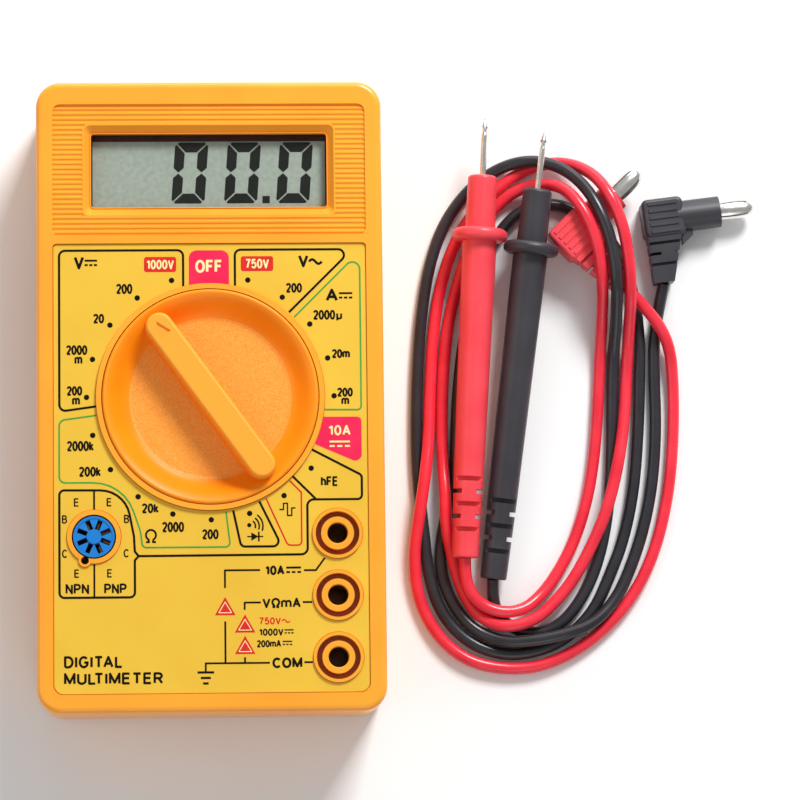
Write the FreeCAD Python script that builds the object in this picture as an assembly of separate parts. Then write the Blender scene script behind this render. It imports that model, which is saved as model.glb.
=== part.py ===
import FreeCAD, Part
import math
import os

from FreeCAD import Matrix, Vector

# Digital multimeter with its pair of test leads. Millimetres, +Z up.
# The meter lies on its back: the rear face is z = 0, the display is towards +Y,
# and the origin is the middle of the rear face.

os.makedirs("parts", exist_ok=True)

UP = Vector(0, 0, 1)
PIECE_COUNT = [0]

# ---- the case ---------------------------------------------------------------
WIDTH = 70.0
LENGTH = 128.0
FACE_Z = 24.0
PARTING_Z = 11.0
WALL = 2.2
CORNER_R = 5.0
TOP_FILLET = 1.3
BOTTOM_FILLET = 2.0
SEAM_CHAMFER = 0.25
CEILING_Z = FACE_Z - 3.0
FLOOR_Z = WALL
HALF_W = WIDTH / 2
HALF_L = LENGTH / 2
LIP_HEIGHT = 1.2
LIP_THICK = 1.0
LIP_GAP = 0.1

# ---- the face ---------------------------------------------------------------
SEAT_Z = FACE_Z - 0.8
LABEL_TOP_Z = FACE_Z - 0.4
LABEL_HALF_W = 31.65
LABEL_LOW_Y = -60.2
LABEL_HIGH_Y = 30.8
LABEL_R = 0.8
LABEL_LOW_R = 2.0
LABEL_GAP = 0.15
RIBS_LOW_Y = 32.3
RIBS_HIGH_Y = 59.4
RIBS_R = 1.6
RIB_PITCH = 1.015
RIB_FOOT = 0.84
RIB_CREST = 0.3
RIB_TOP_Z = LABEL_TOP_Z + 0.1
RIB_VALLEY_Z = RIB_TOP_Z - 0.26
BEZEL_HALF_W = 25.6
BEZEL_LOW_Y = 36.3
BEZEL_HIGH_Y = 55.4
BEZEL_R = 1.2
BEZEL_RIM = 0.3
BEZEL_FOOT_Z = FACE_Z - 1.9
WINDOW_HALF_W = 23.9
WINDOW_LOW_Y = 38.4
WINDOW_HIGH_Y = 53.55
WINDOW_R = 0.6
WINDOW_LIP = 0.2
WINDOW_LIP_Z = BEZEL_FOOT_Z + 0.3

# ---- the selector -----------------------------------------------------------
KNOB_Y = -0.45
KNOB_R = 21.8
KNOB_HOLE_R = 21.95
KNOB_RING_R = 23.0
KNOB_RING_Z = FACE_Z + 0.35
POSITIONS = 20
POINTER_DEG = 36.0
FLANGE_R = 26.0
FLANGE_TOP_Z = CEILING_Z - 0.4
FLANGE_LOW_Z = FLANGE_TOP_Z - 2.0
BOWL_FLOOR_R = 15.9
BOWL_FLOOR_Z = FACE_Z - 3.3
PIVOT_R = 2.45
PIVOT_HOLE_R = 2.50
HUB_R = 4.0
HANDLE_LENGTH = 39.9
HANDLE_TOP_W = 5.3
HANDLE_FOOT_W = 6.6
HANDLE_TOP_Z = FACE_Z + 3.3
BALL_R = 1.2
BALL_HOLE_R = 1.3
BALL_TRACK_R = 23.9
BALL_Z = CEILING_Z - 0.05 - BALL_R
BALL_LIFT = 0.4
POCKET_FLOOR_Z = 16.2
POCKET_WALL = 0.7
SPRING_WIRE_R = 0.13
SPRING_COIL_R = 0.9
SPRING_TURNS = 4
SPRING_POINTS = 12

# ---- the circuit board ------------------------------------------------------
BOARD_LOW_Z = 13.4
BOARD_TOP_Z = 15.0
BOARD_HALF_W = 31.9
BOARD_LOW_Y = -33.3
BOARD_HIGH_Y = 60.8
BOARD_ARM_X = 19.4

# ---- sockets ----------------------------------------------------------------
JACK_X = 25.3
JACK_YS = {"10a": -28.25, "vohm": -40.7, "com": -53.15}
JACK_BORE_R = 2.05
JACK_SLEEVE_R = 2.6
JACK_CHAMFER = 0.2
JACK_INNER_R = 3.3
JACK_GROOVE_R = 4.4
JACK_COLLAR_R = 5.05
JACK_COLLAR_Z = FACE_Z + 0.1
JACK_BOSS_LOW_Z = 17.4
SLEEVE_LOW_Z = 12.4
SLEEVE_TOP_Z = FACE_Z - 1.15
SOCKET_X = -23.5
SOCKET_Y = -28.6
SOCKET_R = 4.15
SOCKET_RIM_R = 3.7
SOCKET_HUB_R = 1.4
SOCKET_HOLE_R = 4.45
SOCKET_COLLAR_R = 5.4
SOCKET_TOP_Z = FACE_Z - 0.3
SOCKET_SLOTS = 8
KEY_HOLE = (-25.3, -33.35)
KEY_HOLE_R = 0.8
KEY_COLLAR_R = 1.3

# ---- screws -----------------------------------------------------------------
CASE_SCREWS = [(-29.0, 28.0), (29.0, 28.0)]
CASE_SCREW_SEAT_Z = 4.0
BOARD_SCREWS = [(-28.8, 17.0), (28.8, 17.0), (-29.6, -20.5), (29.6, -20.5)]

# ---- battery ----------------------------------------------------------------
BATTERY_LOW = Vector(-32.3, -60.2, 2.3)
BATTERY_SIZE = Vector(45.6, 26.2, 17.4)


def save(name, shape):
    shape.exportStep("parts/" + name + ".step")
    PIECE_COUNT[0] += 1


def box(x0, y0, z0, x1, y1, z1):
    return Part.makeBox(x1 - x0, y1 - y0, z1 - z0, Vector(x0, y0, z0))


def rod(x, y, z0, z1, r):
    return Part.makeCylinder(r, z1 - z0, Vector(x, y, z0))


def ring(x, y, z0, z1, outer, inner):
    return rod(x, y, z0, z1, outer).cut(rod(x, y, z0 - 1, z1 + 1, inner))


def rounded_wire(x0, y0, x1, y1, z, r):
    """A rectangle with round corners, as one wire."""
    k = r * (1 - math.sqrt(0.5))
    edges = [
        Part.makeLine(Vector(x0 + r, y0, z), Vector(x1 - r, y0, z)),
        Part.Arc(Vector(x1 - r, y0, z), Vector(x1 - k, y0 + k, z), Vector(x1, y0 + r, z)).toShape(),
        Part.makeLine(Vector(x1, y0 + r, z), Vector(x1, y1 - r, z)),
        Part.Arc(Vector(x1, y1 - r, z), Vector(x1 - k, y1 - k, z), Vector(x1 - r, y1, z)).toShape(),
        Part.makeLine(Vector(x1 - r, y1, z), Vector(x0 + r, y1, z)),
        Part.Arc(Vector(x0 + r, y1, z), Vector(x0 + k, y1 - k, z), Vector(x0, y1 - r, z)).toShape(),
        Part.makeLine(Vector(x0, y1 - r, z), Vector(x0, y0 + r, z)),
        Part.Arc(Vector(x0, y0 + r, z), Vector(x0 + k, y0 + k, z), Vector(x0 + r, y0, z)).toShape(),
    ]
    return Part.Wire(edges)


def rounded_block(x0, y0, x1, y1, z0, z1, r):
    return Part.Face(rounded_wire(x0, y0, x1, y1, z0, r)).extrude(Vector(0, 0, z1 - z0))


def case_block(inset, z0, z1):
    """A block with the case's outline, drawn in by inset."""
    r = max(CORNER_R - inset, 0.8)
    return rounded_block(inset - HALF_W, inset - HALF_L, HALF_W - inset, HALF_L - inset, z0, z1, r)


def prism(points, direction):
    """A flat closed outline, pushed along direction."""
    return Part.Face(Part.makePolygon(points + points[:1])).extrude(direction)


def lathe(profile, x=0.0, y=0.0):
    """Turns a closed outline of (radius, z) points about the vertical line at x, y."""
    wire = Part.makePolygon([Vector(x + r, y, z) for r, z in profile + profile[:1]])
    return Part.Face(wire).revolve(Vector(x, y, 0), UP, 360)


def edges_at(shape, z):
    """The edges that lie flat at height z."""
    found = []
    for edge in shape.Edges:
        bounds = edge.BoundBox
        if abs(bounds.ZMin - z) < 1e-4 and abs(bounds.ZMax - z) < 1e-4:
            found.append(edge)
    return found


def around(shape, count, x, y, start=0.0):
    """The shape and its copies, evenly spaced round the vertical line at x, y."""
    copies = []
    for i in range(count):
        turned = shape.copy()
        turned.rotate(Vector(x, y, 0), UP, start + i * 360.0 / count)
        copies.append(turned)
    return copies


def tube(points, diameter):
    """A round tube along straight runs joined by tangent arcs. Returns it with the centreline's length."""
    corners = [Vector(*p) for p in points]
    edges = []
    radii = []
    last = corners[0]
    for before, corner, after in zip(corners, corners[1:], corners[2:]):
        back = before - corner
        ahead = after - corner
        half_turn = (math.pi - back.getAngle(ahead)) / 2
        trim = 0.45 * min(back.Length, ahead.Length)
        radius = trim / math.tan(half_turn)
        start = corner + Vector(back).normalize() * trim
        end = corner + Vector(ahead).normalize() * trim
        inward = (Vector(back).normalize() + Vector(ahead).normalize()).normalize()
        middle = corner + inward * (radius / math.cos(half_turn) - radius)
        edges.append(Part.LineSegment(last, start).toShape())
        edges.append(Part.Arc(start, middle, end).toShape())
        radii.append(radius)
        last = end
    edges.append(Part.LineSegment(last, corners[-1]).toShape())
    spine = Part.Wire(edges)
    section = Part.Wire(Part.Circle(corners[0], corners[1] - corners[0], diameter / 2).toShape())
    solid = spine.makePipeShell([section], True, False)
    area = math.pi * diameter**2 / 4
    return solid, spine.Length, min(radii), solid.Volume / (area * spine.Length)


# ---- front case -------------------------------------------------------------
def rib_panel():
    """Fine ribs across the display surround, left out where the bezel stands."""
    count = int((RIBS_HIGH_Y - RIBS_LOW_Y) / RIB_PITCH)
    first = (RIBS_LOW_Y + RIBS_HIGH_Y - (count - 1) * RIB_PITCH) / 2
    low = SEAT_Z - 0.2
    outline = [Vector(-LABEL_HALF_W, RIBS_HIGH_Y, low), Vector(-LABEL_HALF_W, RIBS_LOW_Y, low)]
    for i in range(count):
        y = first + i * RIB_PITCH
        for offset, z in (
            (-RIB_FOOT / 2, RIB_VALLEY_Z),
            (-RIB_CREST / 2, RIB_TOP_Z),
            (RIB_CREST / 2, RIB_TOP_Z),
            (RIB_FOOT / 2, RIB_VALLEY_Z),
        ):
            outline.append(Vector(-LABEL_HALF_W, y + offset, z))
    outline.insert(2, Vector(-LABEL_HALF_W, RIBS_LOW_Y, RIB_VALLEY_Z))
    outline.append(Vector(-LABEL_HALF_W, RIBS_HIGH_Y, RIB_VALLEY_Z))
    comb = prism(outline, Vector(2 * LABEL_HALF_W, 0, 0))
    panel = rounded_block(
        -LABEL_HALF_W, RIBS_LOW_Y, LABEL_HALF_W, RIBS_HIGH_Y, SEAT_Z - 0.5, FACE_Z, RIBS_R
    )
    bezel = rounded_block(
        -BEZEL_HALF_W, BEZEL_LOW_Y, BEZEL_HALF_W, BEZEL_HIGH_Y, SEAT_Z - 0.5, FACE_Z, BEZEL_R
    )
    return comb.common(panel).cut(bezel)


def funnel():
    """The space inside the bezel: it narrows down to the edge of the window."""
    rim = rounded_wire(
        -BEZEL_HALF_W + BEZEL_RIM,
        BEZEL_LOW_Y + BEZEL_RIM,
        BEZEL_HALF_W - BEZEL_RIM,
        BEZEL_HIGH_Y - BEZEL_RIM,
        RIB_TOP_Z,
        BEZEL_R,
    )
    foot = rounded_wire(
        -WINDOW_HALF_W - WINDOW_LIP,
        WINDOW_LOW_Y - WINDOW_LIP,
        WINDOW_HALF_W + WINDOW_LIP,
        WINDOW_HIGH_Y + WINDOW_LIP,
        BEZEL_FOOT_Z,
        WINDOW_R + WINDOW_LIP,
    )
    return Part.makeLoft([rim, foot], True, True)


def window_block(grow, z0, z1):
    return rounded_block(
        -WINDOW_HALF_W - grow,
        WINDOW_LOW_Y - grow,
        WINDOW_HALF_W + grow,
        WINDOW_HIGH_Y + grow,
        z0,
        z1,
        WINDOW_R + grow,
    )


def label_block(gap, low, high):
    """The label's outline, drawn in by a gap. Its lower corners are rounder than its upper ones."""
    left, right = gap - LABEL_HALF_W, LABEL_HALF_W - gap
    near, far = LABEL_LOW_Y + gap, LABEL_HIGH_Y - gap
    upper = rounded_block(left, near, right, far, low, high, LABEL_R)
    return upper.common(rounded_block(left, near, right, far + 2 * LABEL_LOW_R, low, high, LABEL_LOW_R))


def front_case():
    shell = case_block(0, PARTING_Z, FACE_Z)
    shell = shell.makeFillet(TOP_FILLET, edges_at(shell, FACE_Z))
    shell = shell.makeChamfer(SEAM_CHAMFER, edges_at(shell, PARTING_Z))
    shell = shell.cut(case_block(WALL, PARTING_Z - 1, CEILING_Z))
    rebate_top = PARTING_Z + LIP_HEIGHT + LIP_GAP
    shell = shell.cut(case_block(WALL - LIP_THICK - LIP_GAP, PARTING_Z - 1, rebate_top))
    label_seat = label_block(0, SEAT_Z, FACE_Z + 1)
    panel_seat = rounded_block(
        -LABEL_HALF_W, RIBS_LOW_Y, LABEL_HALF_W, RIBS_HIGH_Y, SEAT_Z, FACE_Z + 1, RIBS_R
    )
    shell = shell.cut([label_seat, panel_seat])
    bezel = rounded_block(
        -BEZEL_HALF_W, BEZEL_LOW_Y, BEZEL_HALF_W, BEZEL_HIGH_Y, SEAT_Z - 0.5, RIB_TOP_Z, BEZEL_R
    )
    shell = shell.fuse([rib_panel(), bezel])
    shell = shell.cut(funnel())
    shell = shell.fuse(window_block(WINDOW_LIP, BEZEL_FOOT_Z - 0.4, WINDOW_LIP_Z))
    shell = shell.cut(window_block(0, CEILING_Z - 1, FACE_Z))

    additions = [ring(0, KNOB_Y, CEILING_Z, KNOB_RING_Z, KNOB_RING_R, KNOB_HOLE_R)]
    cuts = [rod(0, KNOB_Y, CEILING_Z - 1, FACE_Z + 1, KNOB_HOLE_R)]
    for y in JACK_YS.values():
        additions.append(rod(JACK_X, y, JACK_BOSS_LOW_Z, JACK_COLLAR_Z, JACK_COLLAR_R))
        cuts.append(ring(JACK_X, y, JACK_BOSS_LOW_Z + 1, FACE_Z + 1, JACK_GROOVE_R, JACK_INNER_R))
        cuts.append(rod(JACK_X, y, JACK_BOSS_LOW_Z - 1, SLEEVE_TOP_Z, JACK_SLEEVE_R + 0.05))
        cuts.append(rod(JACK_X, y, SLEEVE_TOP_Z, FACE_Z + 1, JACK_BORE_R))
        mouth = Vector(JACK_X, y, JACK_COLLAR_Z - JACK_CHAMFER)
        cuts.append(Part.makeCone(JACK_BORE_R, JACK_BORE_R + JACK_CHAMFER, JACK_CHAMFER, mouth))
    additions.append(rod(SOCKET_X, SOCKET_Y, CEILING_Z - 1, FACE_Z, SOCKET_COLLAR_R))
    cuts.append(rod(SOCKET_X, SOCKET_Y, CEILING_Z - 2, FACE_Z + 1, SOCKET_HOLE_R))
    additions.append(rod(*KEY_HOLE, CEILING_Z, FACE_Z, KEY_COLLAR_R))
    cuts.append(rod(*KEY_HOLE, CEILING_Z - 1, FACE_Z + 1, KEY_HOLE_R))
    for x, y in CASE_SCREWS:
        additions.append(rod(x, y, PARTING_Z + 0.2, CEILING_Z, 3.0))
        cuts.append(rod(x, y, PARTING_Z, CEILING_Z - 1.5, 1.25))
    for x, y in BOARD_SCREWS:
        additions.append(rod(x, y, BOARD_TOP_Z, CEILING_Z, 2.3))
        cuts.append(rod(x, y, BOARD_TOP_Z - 1, CEILING_Z - 1, 1.05))
    shell = shell.fuse(additions)
    outside = case_block(0, PARTING_Z, FACE_Z + 2)
    shell = shell.common(outside)
    notch = Part.makeSphere(BALL_HOLE_R, Vector(BALL_TRACK_R, KNOB_Y, BALL_Z + BALL_LIFT))
    cuts += around(notch, POSITIONS, 0, KNOB_Y)
    for x in HOOK_XS:
        cuts.append(
            box(
                x - HOOK_W / 2 - 0.3, -HALF_L + 1.2, HOOK_TOP_Z - 1.4,
                x + HOOK_W / 2 + 0.3, -60, HOOK_TOP_Z + 0.2,
            )
        )
    return shell.cut(cuts)


# ---- rear case --------------------------------------------------------------
HOOK_XS = [-14.0, 24.0]
HOOK_W = 7.0
HOOK_TOP_Z = 14.4
DIVIDER_Z = 12.2
DIVIDER_Y = -33.4
DIVIDER_X = 18.6
DIVIDER_T = 0.9


def rear_case():
    shell = case_block(0, 0, PARTING_Z)
    shell = shell.makeFillet(BOTTOM_FILLET, edges_at(shell, 0))
    shell = shell.makeChamfer(SEAM_CHAMFER, edges_at(shell, PARTING_Z))
    lip_outer = case_block(WALL - LIP_THICK, PARTING_Z - 0.5, PARTING_Z + LIP_HEIGHT)
    shell = shell.fuse(lip_outer).cut(case_block(WALL, FLOOR_Z, PARTING_Z + 5))
    additions = [
        box(1.5 - HALF_W, DIVIDER_Y, 1, DIVIDER_X, DIVIDER_Y + DIVIDER_T, DIVIDER_Z),
        box(DIVIDER_X - DIVIDER_T, 1.5 - HALF_L, 1, DIVIDER_X, DIVIDER_Y + DIVIDER_T, DIVIDER_Z),
    ]
    cuts = []
    for x, y in CASE_SCREWS:
        additions.append(rod(x, y, 1, PARTING_Z, 3.4))
        cuts.append(rod(x, y, -1, CASE_SCREW_SEAT_Z, 2.6))
        cuts.append(rod(x, y, 0, PARTING_Z + 1, 1.4))
    inner_y = WALL - HALF_L
    for x in HOOK_XS:
        additions.append(box(x - HOOK_W / 2, inner_y, 9, x + HOOK_W / 2, inner_y + 1.1, HOOK_TOP_Z))
        barb = [
            Vector(x - HOOK_W / 2, inner_y + 0.1, HOOK_TOP_Z - 1.2),
            Vector(x - HOOK_W / 2, inner_y - 0.6, HOOK_TOP_Z - 1.0),
            Vector(x - HOOK_W / 2, inner_y + 0.1, HOOK_TOP_Z),
        ]
        additions.append(prism(barb, Vector(HOOK_W, 0, 0)))
    for side in (-1, 1):
        for step in range(5):
            y = 36.0 + 4.2 * step
            x = side * 15.0
            additions.append(box(x - 9, y, 1, x + 9, y + 1.1, FLOOR_Z + 1.2))
    shell = shell.fuse(additions)
    shell = shell.common(case_block(0, 0, PARTING_Z + 5))
    return shell.cut(cuts)


# ---- what shows on the face -------------------------------------------------
def panel_label():
    plate = label_block(LABEL_GAP, SEAT_Z, LABEL_TOP_Z)
    holes = [rod(0, KNOB_Y, SEAT_Z - 1, FACE_Z, KNOB_RING_R + 0.1)]
    for y in JACK_YS.values():
        holes.append(rod(JACK_X, y, SEAT_Z - 1, FACE_Z, JACK_COLLAR_R + 0.1))
    holes.append(rod(SOCKET_X, SOCKET_Y, SEAT_Z - 1, FACE_Z, SOCKET_COLLAR_R + 0.1))
    holes.append(rod(*KEY_HOLE, SEAT_Z - 1, FACE_Z, KEY_COLLAR_R + 0.1))
    return plate.cut(holes)


def stadium_wire(length, width, z):
    """A long shape with half-round ends, along +Y, centred on the knob."""
    return rounded_wire(
        -width / 2, KNOB_Y - length / 2, width / 2, KNOB_Y + length / 2, z, width / 2 - 0.01
    )


def handle():
    """The bar across the knob, with drafted sides and an arrow sunk into its pointing end."""
    foot_z = FLANGE_TOP_Z - 0.5
    bar = Part.makeLoft(
        [
            stadium_wire(HANDLE_LENGTH + HANDLE_FOOT_W - HANDLE_TOP_W, HANDLE_FOOT_W, foot_z),
            stadium_wire(HANDLE_LENGTH, HANDLE_TOP_W, HANDLE_TOP_Z),
        ],
        True,
        True,
    )
    bar = bar.makeFillet(0.6, edges_at(bar, HANDLE_TOP_Z))
    tip_y = KNOB_Y + HANDLE_LENGTH / 2 - 1.6
    arrow = prism(
        [
            Vector(0, tip_y, HANDLE_TOP_Z - 0.4),
            Vector(-1.3, tip_y - 3.2, HANDLE_TOP_Z - 0.4),
            Vector(1.3, tip_y - 3.2, HANDLE_TOP_Z - 0.4),
        ],
        Vector(0, 0, 1),
    )
    return bar.cut(arrow)


def bowl_profile():
    """The knob's outline: a sunk floor, a wall that sweeps up to the rim, and the hidden flange."""
    rim_r = KNOB_R - 0.7
    rim_z = FACE_Z + 0.55
    wall = Part.BSplineCurve()
    wall.interpolate(
        [
            Vector(BOWL_FLOOR_R, 0, BOWL_FLOOR_Z),
            Vector(BOWL_FLOOR_R + 1.6, 0, BOWL_FLOOR_Z + 0.75),
            Vector(BOWL_FLOOR_R + 3.2, 0, BOWL_FLOOR_Z + 2.35),
            Vector(rim_r, 0, rim_z),
        ]
    )
    shoulder_z = rim_z - 0.45
    crown = Part.Arc(
        Vector(rim_r, 0, rim_z), Vector(KNOB_R - 0.25, 0, rim_z - 0.05), Vector(KNOB_R, 0, shoulder_z)
    )
    corners = [
        (KNOB_R, shoulder_z),
        (KNOB_R, FLANGE_TOP_Z),
        (FLANGE_R, FLANGE_TOP_Z),
        (FLANGE_R, FLANGE_LOW_Z),
        (HUB_R, FLANGE_LOW_Z),
        (HUB_R, BOARD_TOP_Z + 0.1),
        (PIVOT_R, BOARD_TOP_Z + 0.1),
        (PIVOT_R, BOARD_LOW_Z - 0.6),
        (0, BOARD_LOW_Z - 0.6),
        (0, BOWL_FLOOR_Z),
        (BOWL_FLOOR_R, BOWL_FLOOR_Z),
    ]
    edges = [wall.toShape(), crown.toShape()]
    for (r0, z0), (r1, z1) in zip(corners, corners[1:]):
        edges.append(Part.makeLine(Vector(r0, 0, z0), Vector(r1, 0, z1)))
    return Part.Wire(Part.__sortEdges__(edges))


def selector_knob():
    wire = bowl_profile()
    wire.translate(Vector(0, KNOB_Y, 0))
    body = Part.Face(wire).revolve(Vector(0, KNOB_Y, 0), UP, 360)
    bar = handle()
    bar.rotate(Vector(0, KNOB_Y, 0), UP, POINTER_DEG)
    body = body.fuse(bar)
    for x in (-BALL_TRACK_R, BALL_TRACK_R):
        pocket_r = BALL_HOLE_R + POCKET_WALL
        body = body.fuse(rod(x, KNOB_Y, POCKET_FLOOR_Z - 0.5, FLANGE_TOP_Z, pocket_r))
    for x in (-BALL_TRACK_R, BALL_TRACK_R):
        body = body.cut(rod(x, KNOB_Y, POCKET_FLOOR_Z, FLANGE_TOP_Z + 1, BALL_HOLE_R))
    return body


def detent_spring(x):
    low = POCKET_FLOOR_Z + SPRING_WIRE_R + 0.05
    height = BALL_Z - BALL_R - SPRING_WIRE_R - 0.05 - low
    points = []
    for i in range(SPRING_TURNS * SPRING_POINTS + 1):
        turn = 2 * math.pi * i / SPRING_POINTS
        z = low + height * i / (SPRING_TURNS * SPRING_POINTS)
        points.append((x + SPRING_COIL_R * math.cos(turn), KNOB_Y + SPRING_COIL_R * math.sin(turn), z))
    return tube(points, 2 * SPRING_WIRE_R)[0]


def wiper_contacts():
    """Three pairs of bent spring strips under the knob. They stop just above the board's tracks."""
    top = FLANGE_LOW_Z
    touch = BOARD_TOP_Z + 0.05
    outline = [
        (6.0, top),
        (8.6, touch),
        (9.4, touch),
        (12.0, top),
        (11.6, top),
        (9.2, touch + 0.3),
        (8.8, touch + 0.3),
        (6.4, top),
    ]
    strips = []
    for shift in (0.0, 7.0):
        for width_shift in (-1.3, 0.3):
            points = [Vector(r + shift, width_shift, z) for r, z in outline]
            strips.append(prism(points, Vector(0, 1.0, 0)))
    pieces = []
    for strip in strips:
        strip.translate(Vector(0, KNOB_Y, 0))
        pieces += around(strip, 3, 0, KNOB_Y, 54.0)
    return Part.makeCompound(pieces)


# ---- display ----------------------------------------------------------------
GLASS_LOW_Z = 17.6
GLASS_TOP_Z = 19.8
GLASS_HALF_W = 25.4
GLASS_LOW_Y = 34.6
GLASS_HIGH_Y = 56.4


def display_parts():
    window_low_z = CEILING_Z - 1.0
    window = rounded_block(-27, 35.6, 27, 56.2, window_low_z, CEILING_Z, 1.0)
    glass = box(-GLASS_HALF_W, GLASS_LOW_Y, GLASS_LOW_Z, GLASS_HALF_W, GLASS_HIGH_Y, GLASS_TOP_Z)
    reflector = box(-22.9, 37.7, GLASS_LOW_Z - 0.2, 22.9, 54.8, GLASS_LOW_Z)
    frame = rounded_block(-28, 32.4, 28, 58.6, BOARD_TOP_Z, window_low_z - 0.1, 1.5)
    g = 0.15
    frame = frame.cut(
        box(
            -GLASS_HALF_W - g,
            GLASS_LOW_Y - g,
            GLASS_LOW_Z,
            GLASS_HALF_W + g,
            GLASS_HIGH_Y + g,
            CEILING_Z,
        )
    )
    frame = frame.cut(box(-23, 37.6, BOARD_TOP_Z - 1, 23, 55, CEILING_Z))
    frame = frame.cut(box(-23, 34.8, BOARD_TOP_Z - 1, 23, 37.1, CEILING_Z))
    strip = box(-22.8, 35.0, BOARD_TOP_Z, 22.8, 36.9, GLASS_LOW_Z)
    save("lcd_window", window)
    save("lcd_glass", glass)
    save("lcd_reflector", reflector)
    save("lcd_frame", frame)
    save("zebra_strip", strip)


# ---- circuit board and what is on it ----------------------------------------
TRIMMER_X = 14.0
TRIMMER_Y = 38.0
FUSE_Y = -26.6
FUSE_Z = 9.8
FUSE_XS = (-8.0, 12.0)


def circuit_board():
    board = rounded_block(
        -BOARD_HALF_W, BOARD_LOW_Y, BOARD_HALF_W, BOARD_HIGH_Y, BOARD_LOW_Z, BOARD_TOP_Z, 2.2
    )
    arm = rounded_block(
        BOARD_ARM_X, -BOARD_HIGH_Y + 1.0, BOARD_HALF_W, BOARD_LOW_Y + 5, BOARD_LOW_Z, BOARD_TOP_Z, 2.2
    )
    holes = [rod(0, KNOB_Y, BOARD_LOW_Z - 1, BOARD_TOP_Z + 1, PIVOT_HOLE_R)]
    for x, y in CASE_SCREWS:
        holes.append(rod(x, y, BOARD_LOW_Z - 1, BOARD_TOP_Z + 1, 3.5))
    for x, y in BOARD_SCREWS:
        holes.append(rod(x, y, BOARD_LOW_Z - 1, BOARD_TOP_Z + 1, 1.25))
    for y in JACK_YS.values():
        holes.append(rod(JACK_X, y, BOARD_LOW_Z - 1, BOARD_TOP_Z + 1, JACK_SLEEVE_R + 0.05))
    return board.fuse(arm).cut(holes)


def jack_sleeve(y):
    body = rod(JACK_X, y, SLEEVE_LOW_Z, SLEEVE_TOP_Z, JACK_SLEEVE_R)
    return body.cut(rod(JACK_X, y, SLEEVE_LOW_Z - 1, SLEEVE_TOP_Z + 1, JACK_BORE_R))


def transistor_socket():
    body = rod(SOCKET_X, SOCKET_Y, BOARD_TOP_Z, SOCKET_TOP_Z, SOCKET_R)
    body = body.fuse(rod(SOCKET_X, SOCKET_Y, BOARD_TOP_Z, SOCKET_TOP_Z + 0.2, SOCKET_HUB_R))
    body = body.fuse(ring(SOCKET_X, SOCKET_Y, BOARD_TOP_Z, SOCKET_TOP_Z + 0.15, SOCKET_R, SOCKET_RIM_R))
    slot = box(1.5, -0.5, BOARD_TOP_Z - 1, 3.5, 0.5, FACE_Z + 1)
    slot.translate(Vector(SOCKET_X, SOCKET_Y, 0))
    return body.cut(around(slot, SOCKET_SLOTS, SOCKET_X, SOCKET_Y, 22.5))


def transistor_contacts():
    blade = box(1.7, 0.1, BOARD_TOP_Z, 3.3, 0.4, BOARD_TOP_Z + 3.5)
    blade.translate(Vector(SOCKET_X, SOCKET_Y, 0))
    return Part.makeCompound(around(blade, SOCKET_SLOTS, SOCKET_X, SOCKET_Y, 22.5))


def resistor(x, y):
    z = BOARD_LOW_Z - 1.15
    ends = Part.makeCylinder(0.3, 9.4, Vector(x - 4.7, y, z), Vector(1, 0, 0))
    body = Part.makeCylinder(0.8, 6.2, Vector(x - 3.1, y, z), Vector(1, 0, 0))
    for cap_x in (x - 3.1, x + 1.7):
        body = body.fuse(Part.makeCylinder(0.95, 1.4, Vector(cap_x, y, z), Vector(1, 0, 0)))
    legs = [rod(x + side * 4.4, y, z, BOARD_LOW_Z, 0.26) for side in (-1, 1)]
    return body.fuse([ends] + legs)


def board_parts():
    save("circuit_board", circuit_board())
    profile = [(0, BOARD_LOW_Z), (7, BOARD_LOW_Z), (6.6, 12.9), (5.4, 12.3), (3.2, 11.9), (0, 11.8)]
    blob = lathe(profile, -9, 42)
    save("chip_blob", blob)
    rows = [(-19.5, 4.0 + 3.3 * i) for i in range(6)] + [(19.0, -14.0 + 3.3 * i) for i in range(6)]
    save("resistors", Part.makeCompound([resistor(x, y) for x, y in rows]))
    films = []
    for x, y in ((-4.0, 54.5), (6.0, 54.5), (16.0, 54.5)):
        film = rounded_block(x - 3.6, y - 1.4, x + 3.6, y + 1.4, BOARD_LOW_Z - 6.4, BOARD_LOW_Z, 0.6)
        films.append(film)
    save("film_capacitors", Part.makeCompound(films))
    can = rod(24.5, 44, BOARD_LOW_Z - 8, BOARD_LOW_Z, 2.5)
    can = can.makeFillet(0.4, edges_at(can, BOARD_LOW_Z - 8))
    save("electrolytic_capacitor", can)

    body = box(TRIMMER_X - 3.3, TRIMMER_Y - 3.5, 10.4, TRIMMER_X + 3.3, TRIMMER_Y + 3.5, BOARD_LOW_Z)
    body = body.cut(rod(TRIMMER_X, TRIMMER_Y, 9, 12.0, 2.05))
    save("trimmer_body", body)
    rotor = rod(TRIMMER_X, TRIMMER_Y, 10.0, 11.95, 2.0)
    slot_a = box(TRIMMER_X - 1.6, TRIMMER_Y - 0.3, 9, TRIMMER_X + 1.6, TRIMMER_Y + 0.3, 10.7)
    slot_b = box(TRIMMER_X - 0.3, TRIMMER_Y - 1.6, 9, TRIMMER_X + 0.3, TRIMMER_Y + 1.6, 10.7)
    save("trimmer_rotor", rotor.cut([slot_a, slot_b]))

    x = 21.3
    shunt = [(x, -31.5, BOARD_LOW_Z), (x, -31.5, 8.4), (x, -49.5, 8.4), (x, -49.5, BOARD_LOW_Z)]
    save("shunt_wire", tube(shunt, 1.5)[0])


def along_x(radius, x0, x1):
    return Part.makeCylinder(radius, x1 - x0, Vector(x0, FUSE_Y, FUSE_Z), Vector(1, 0, 0))


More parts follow.
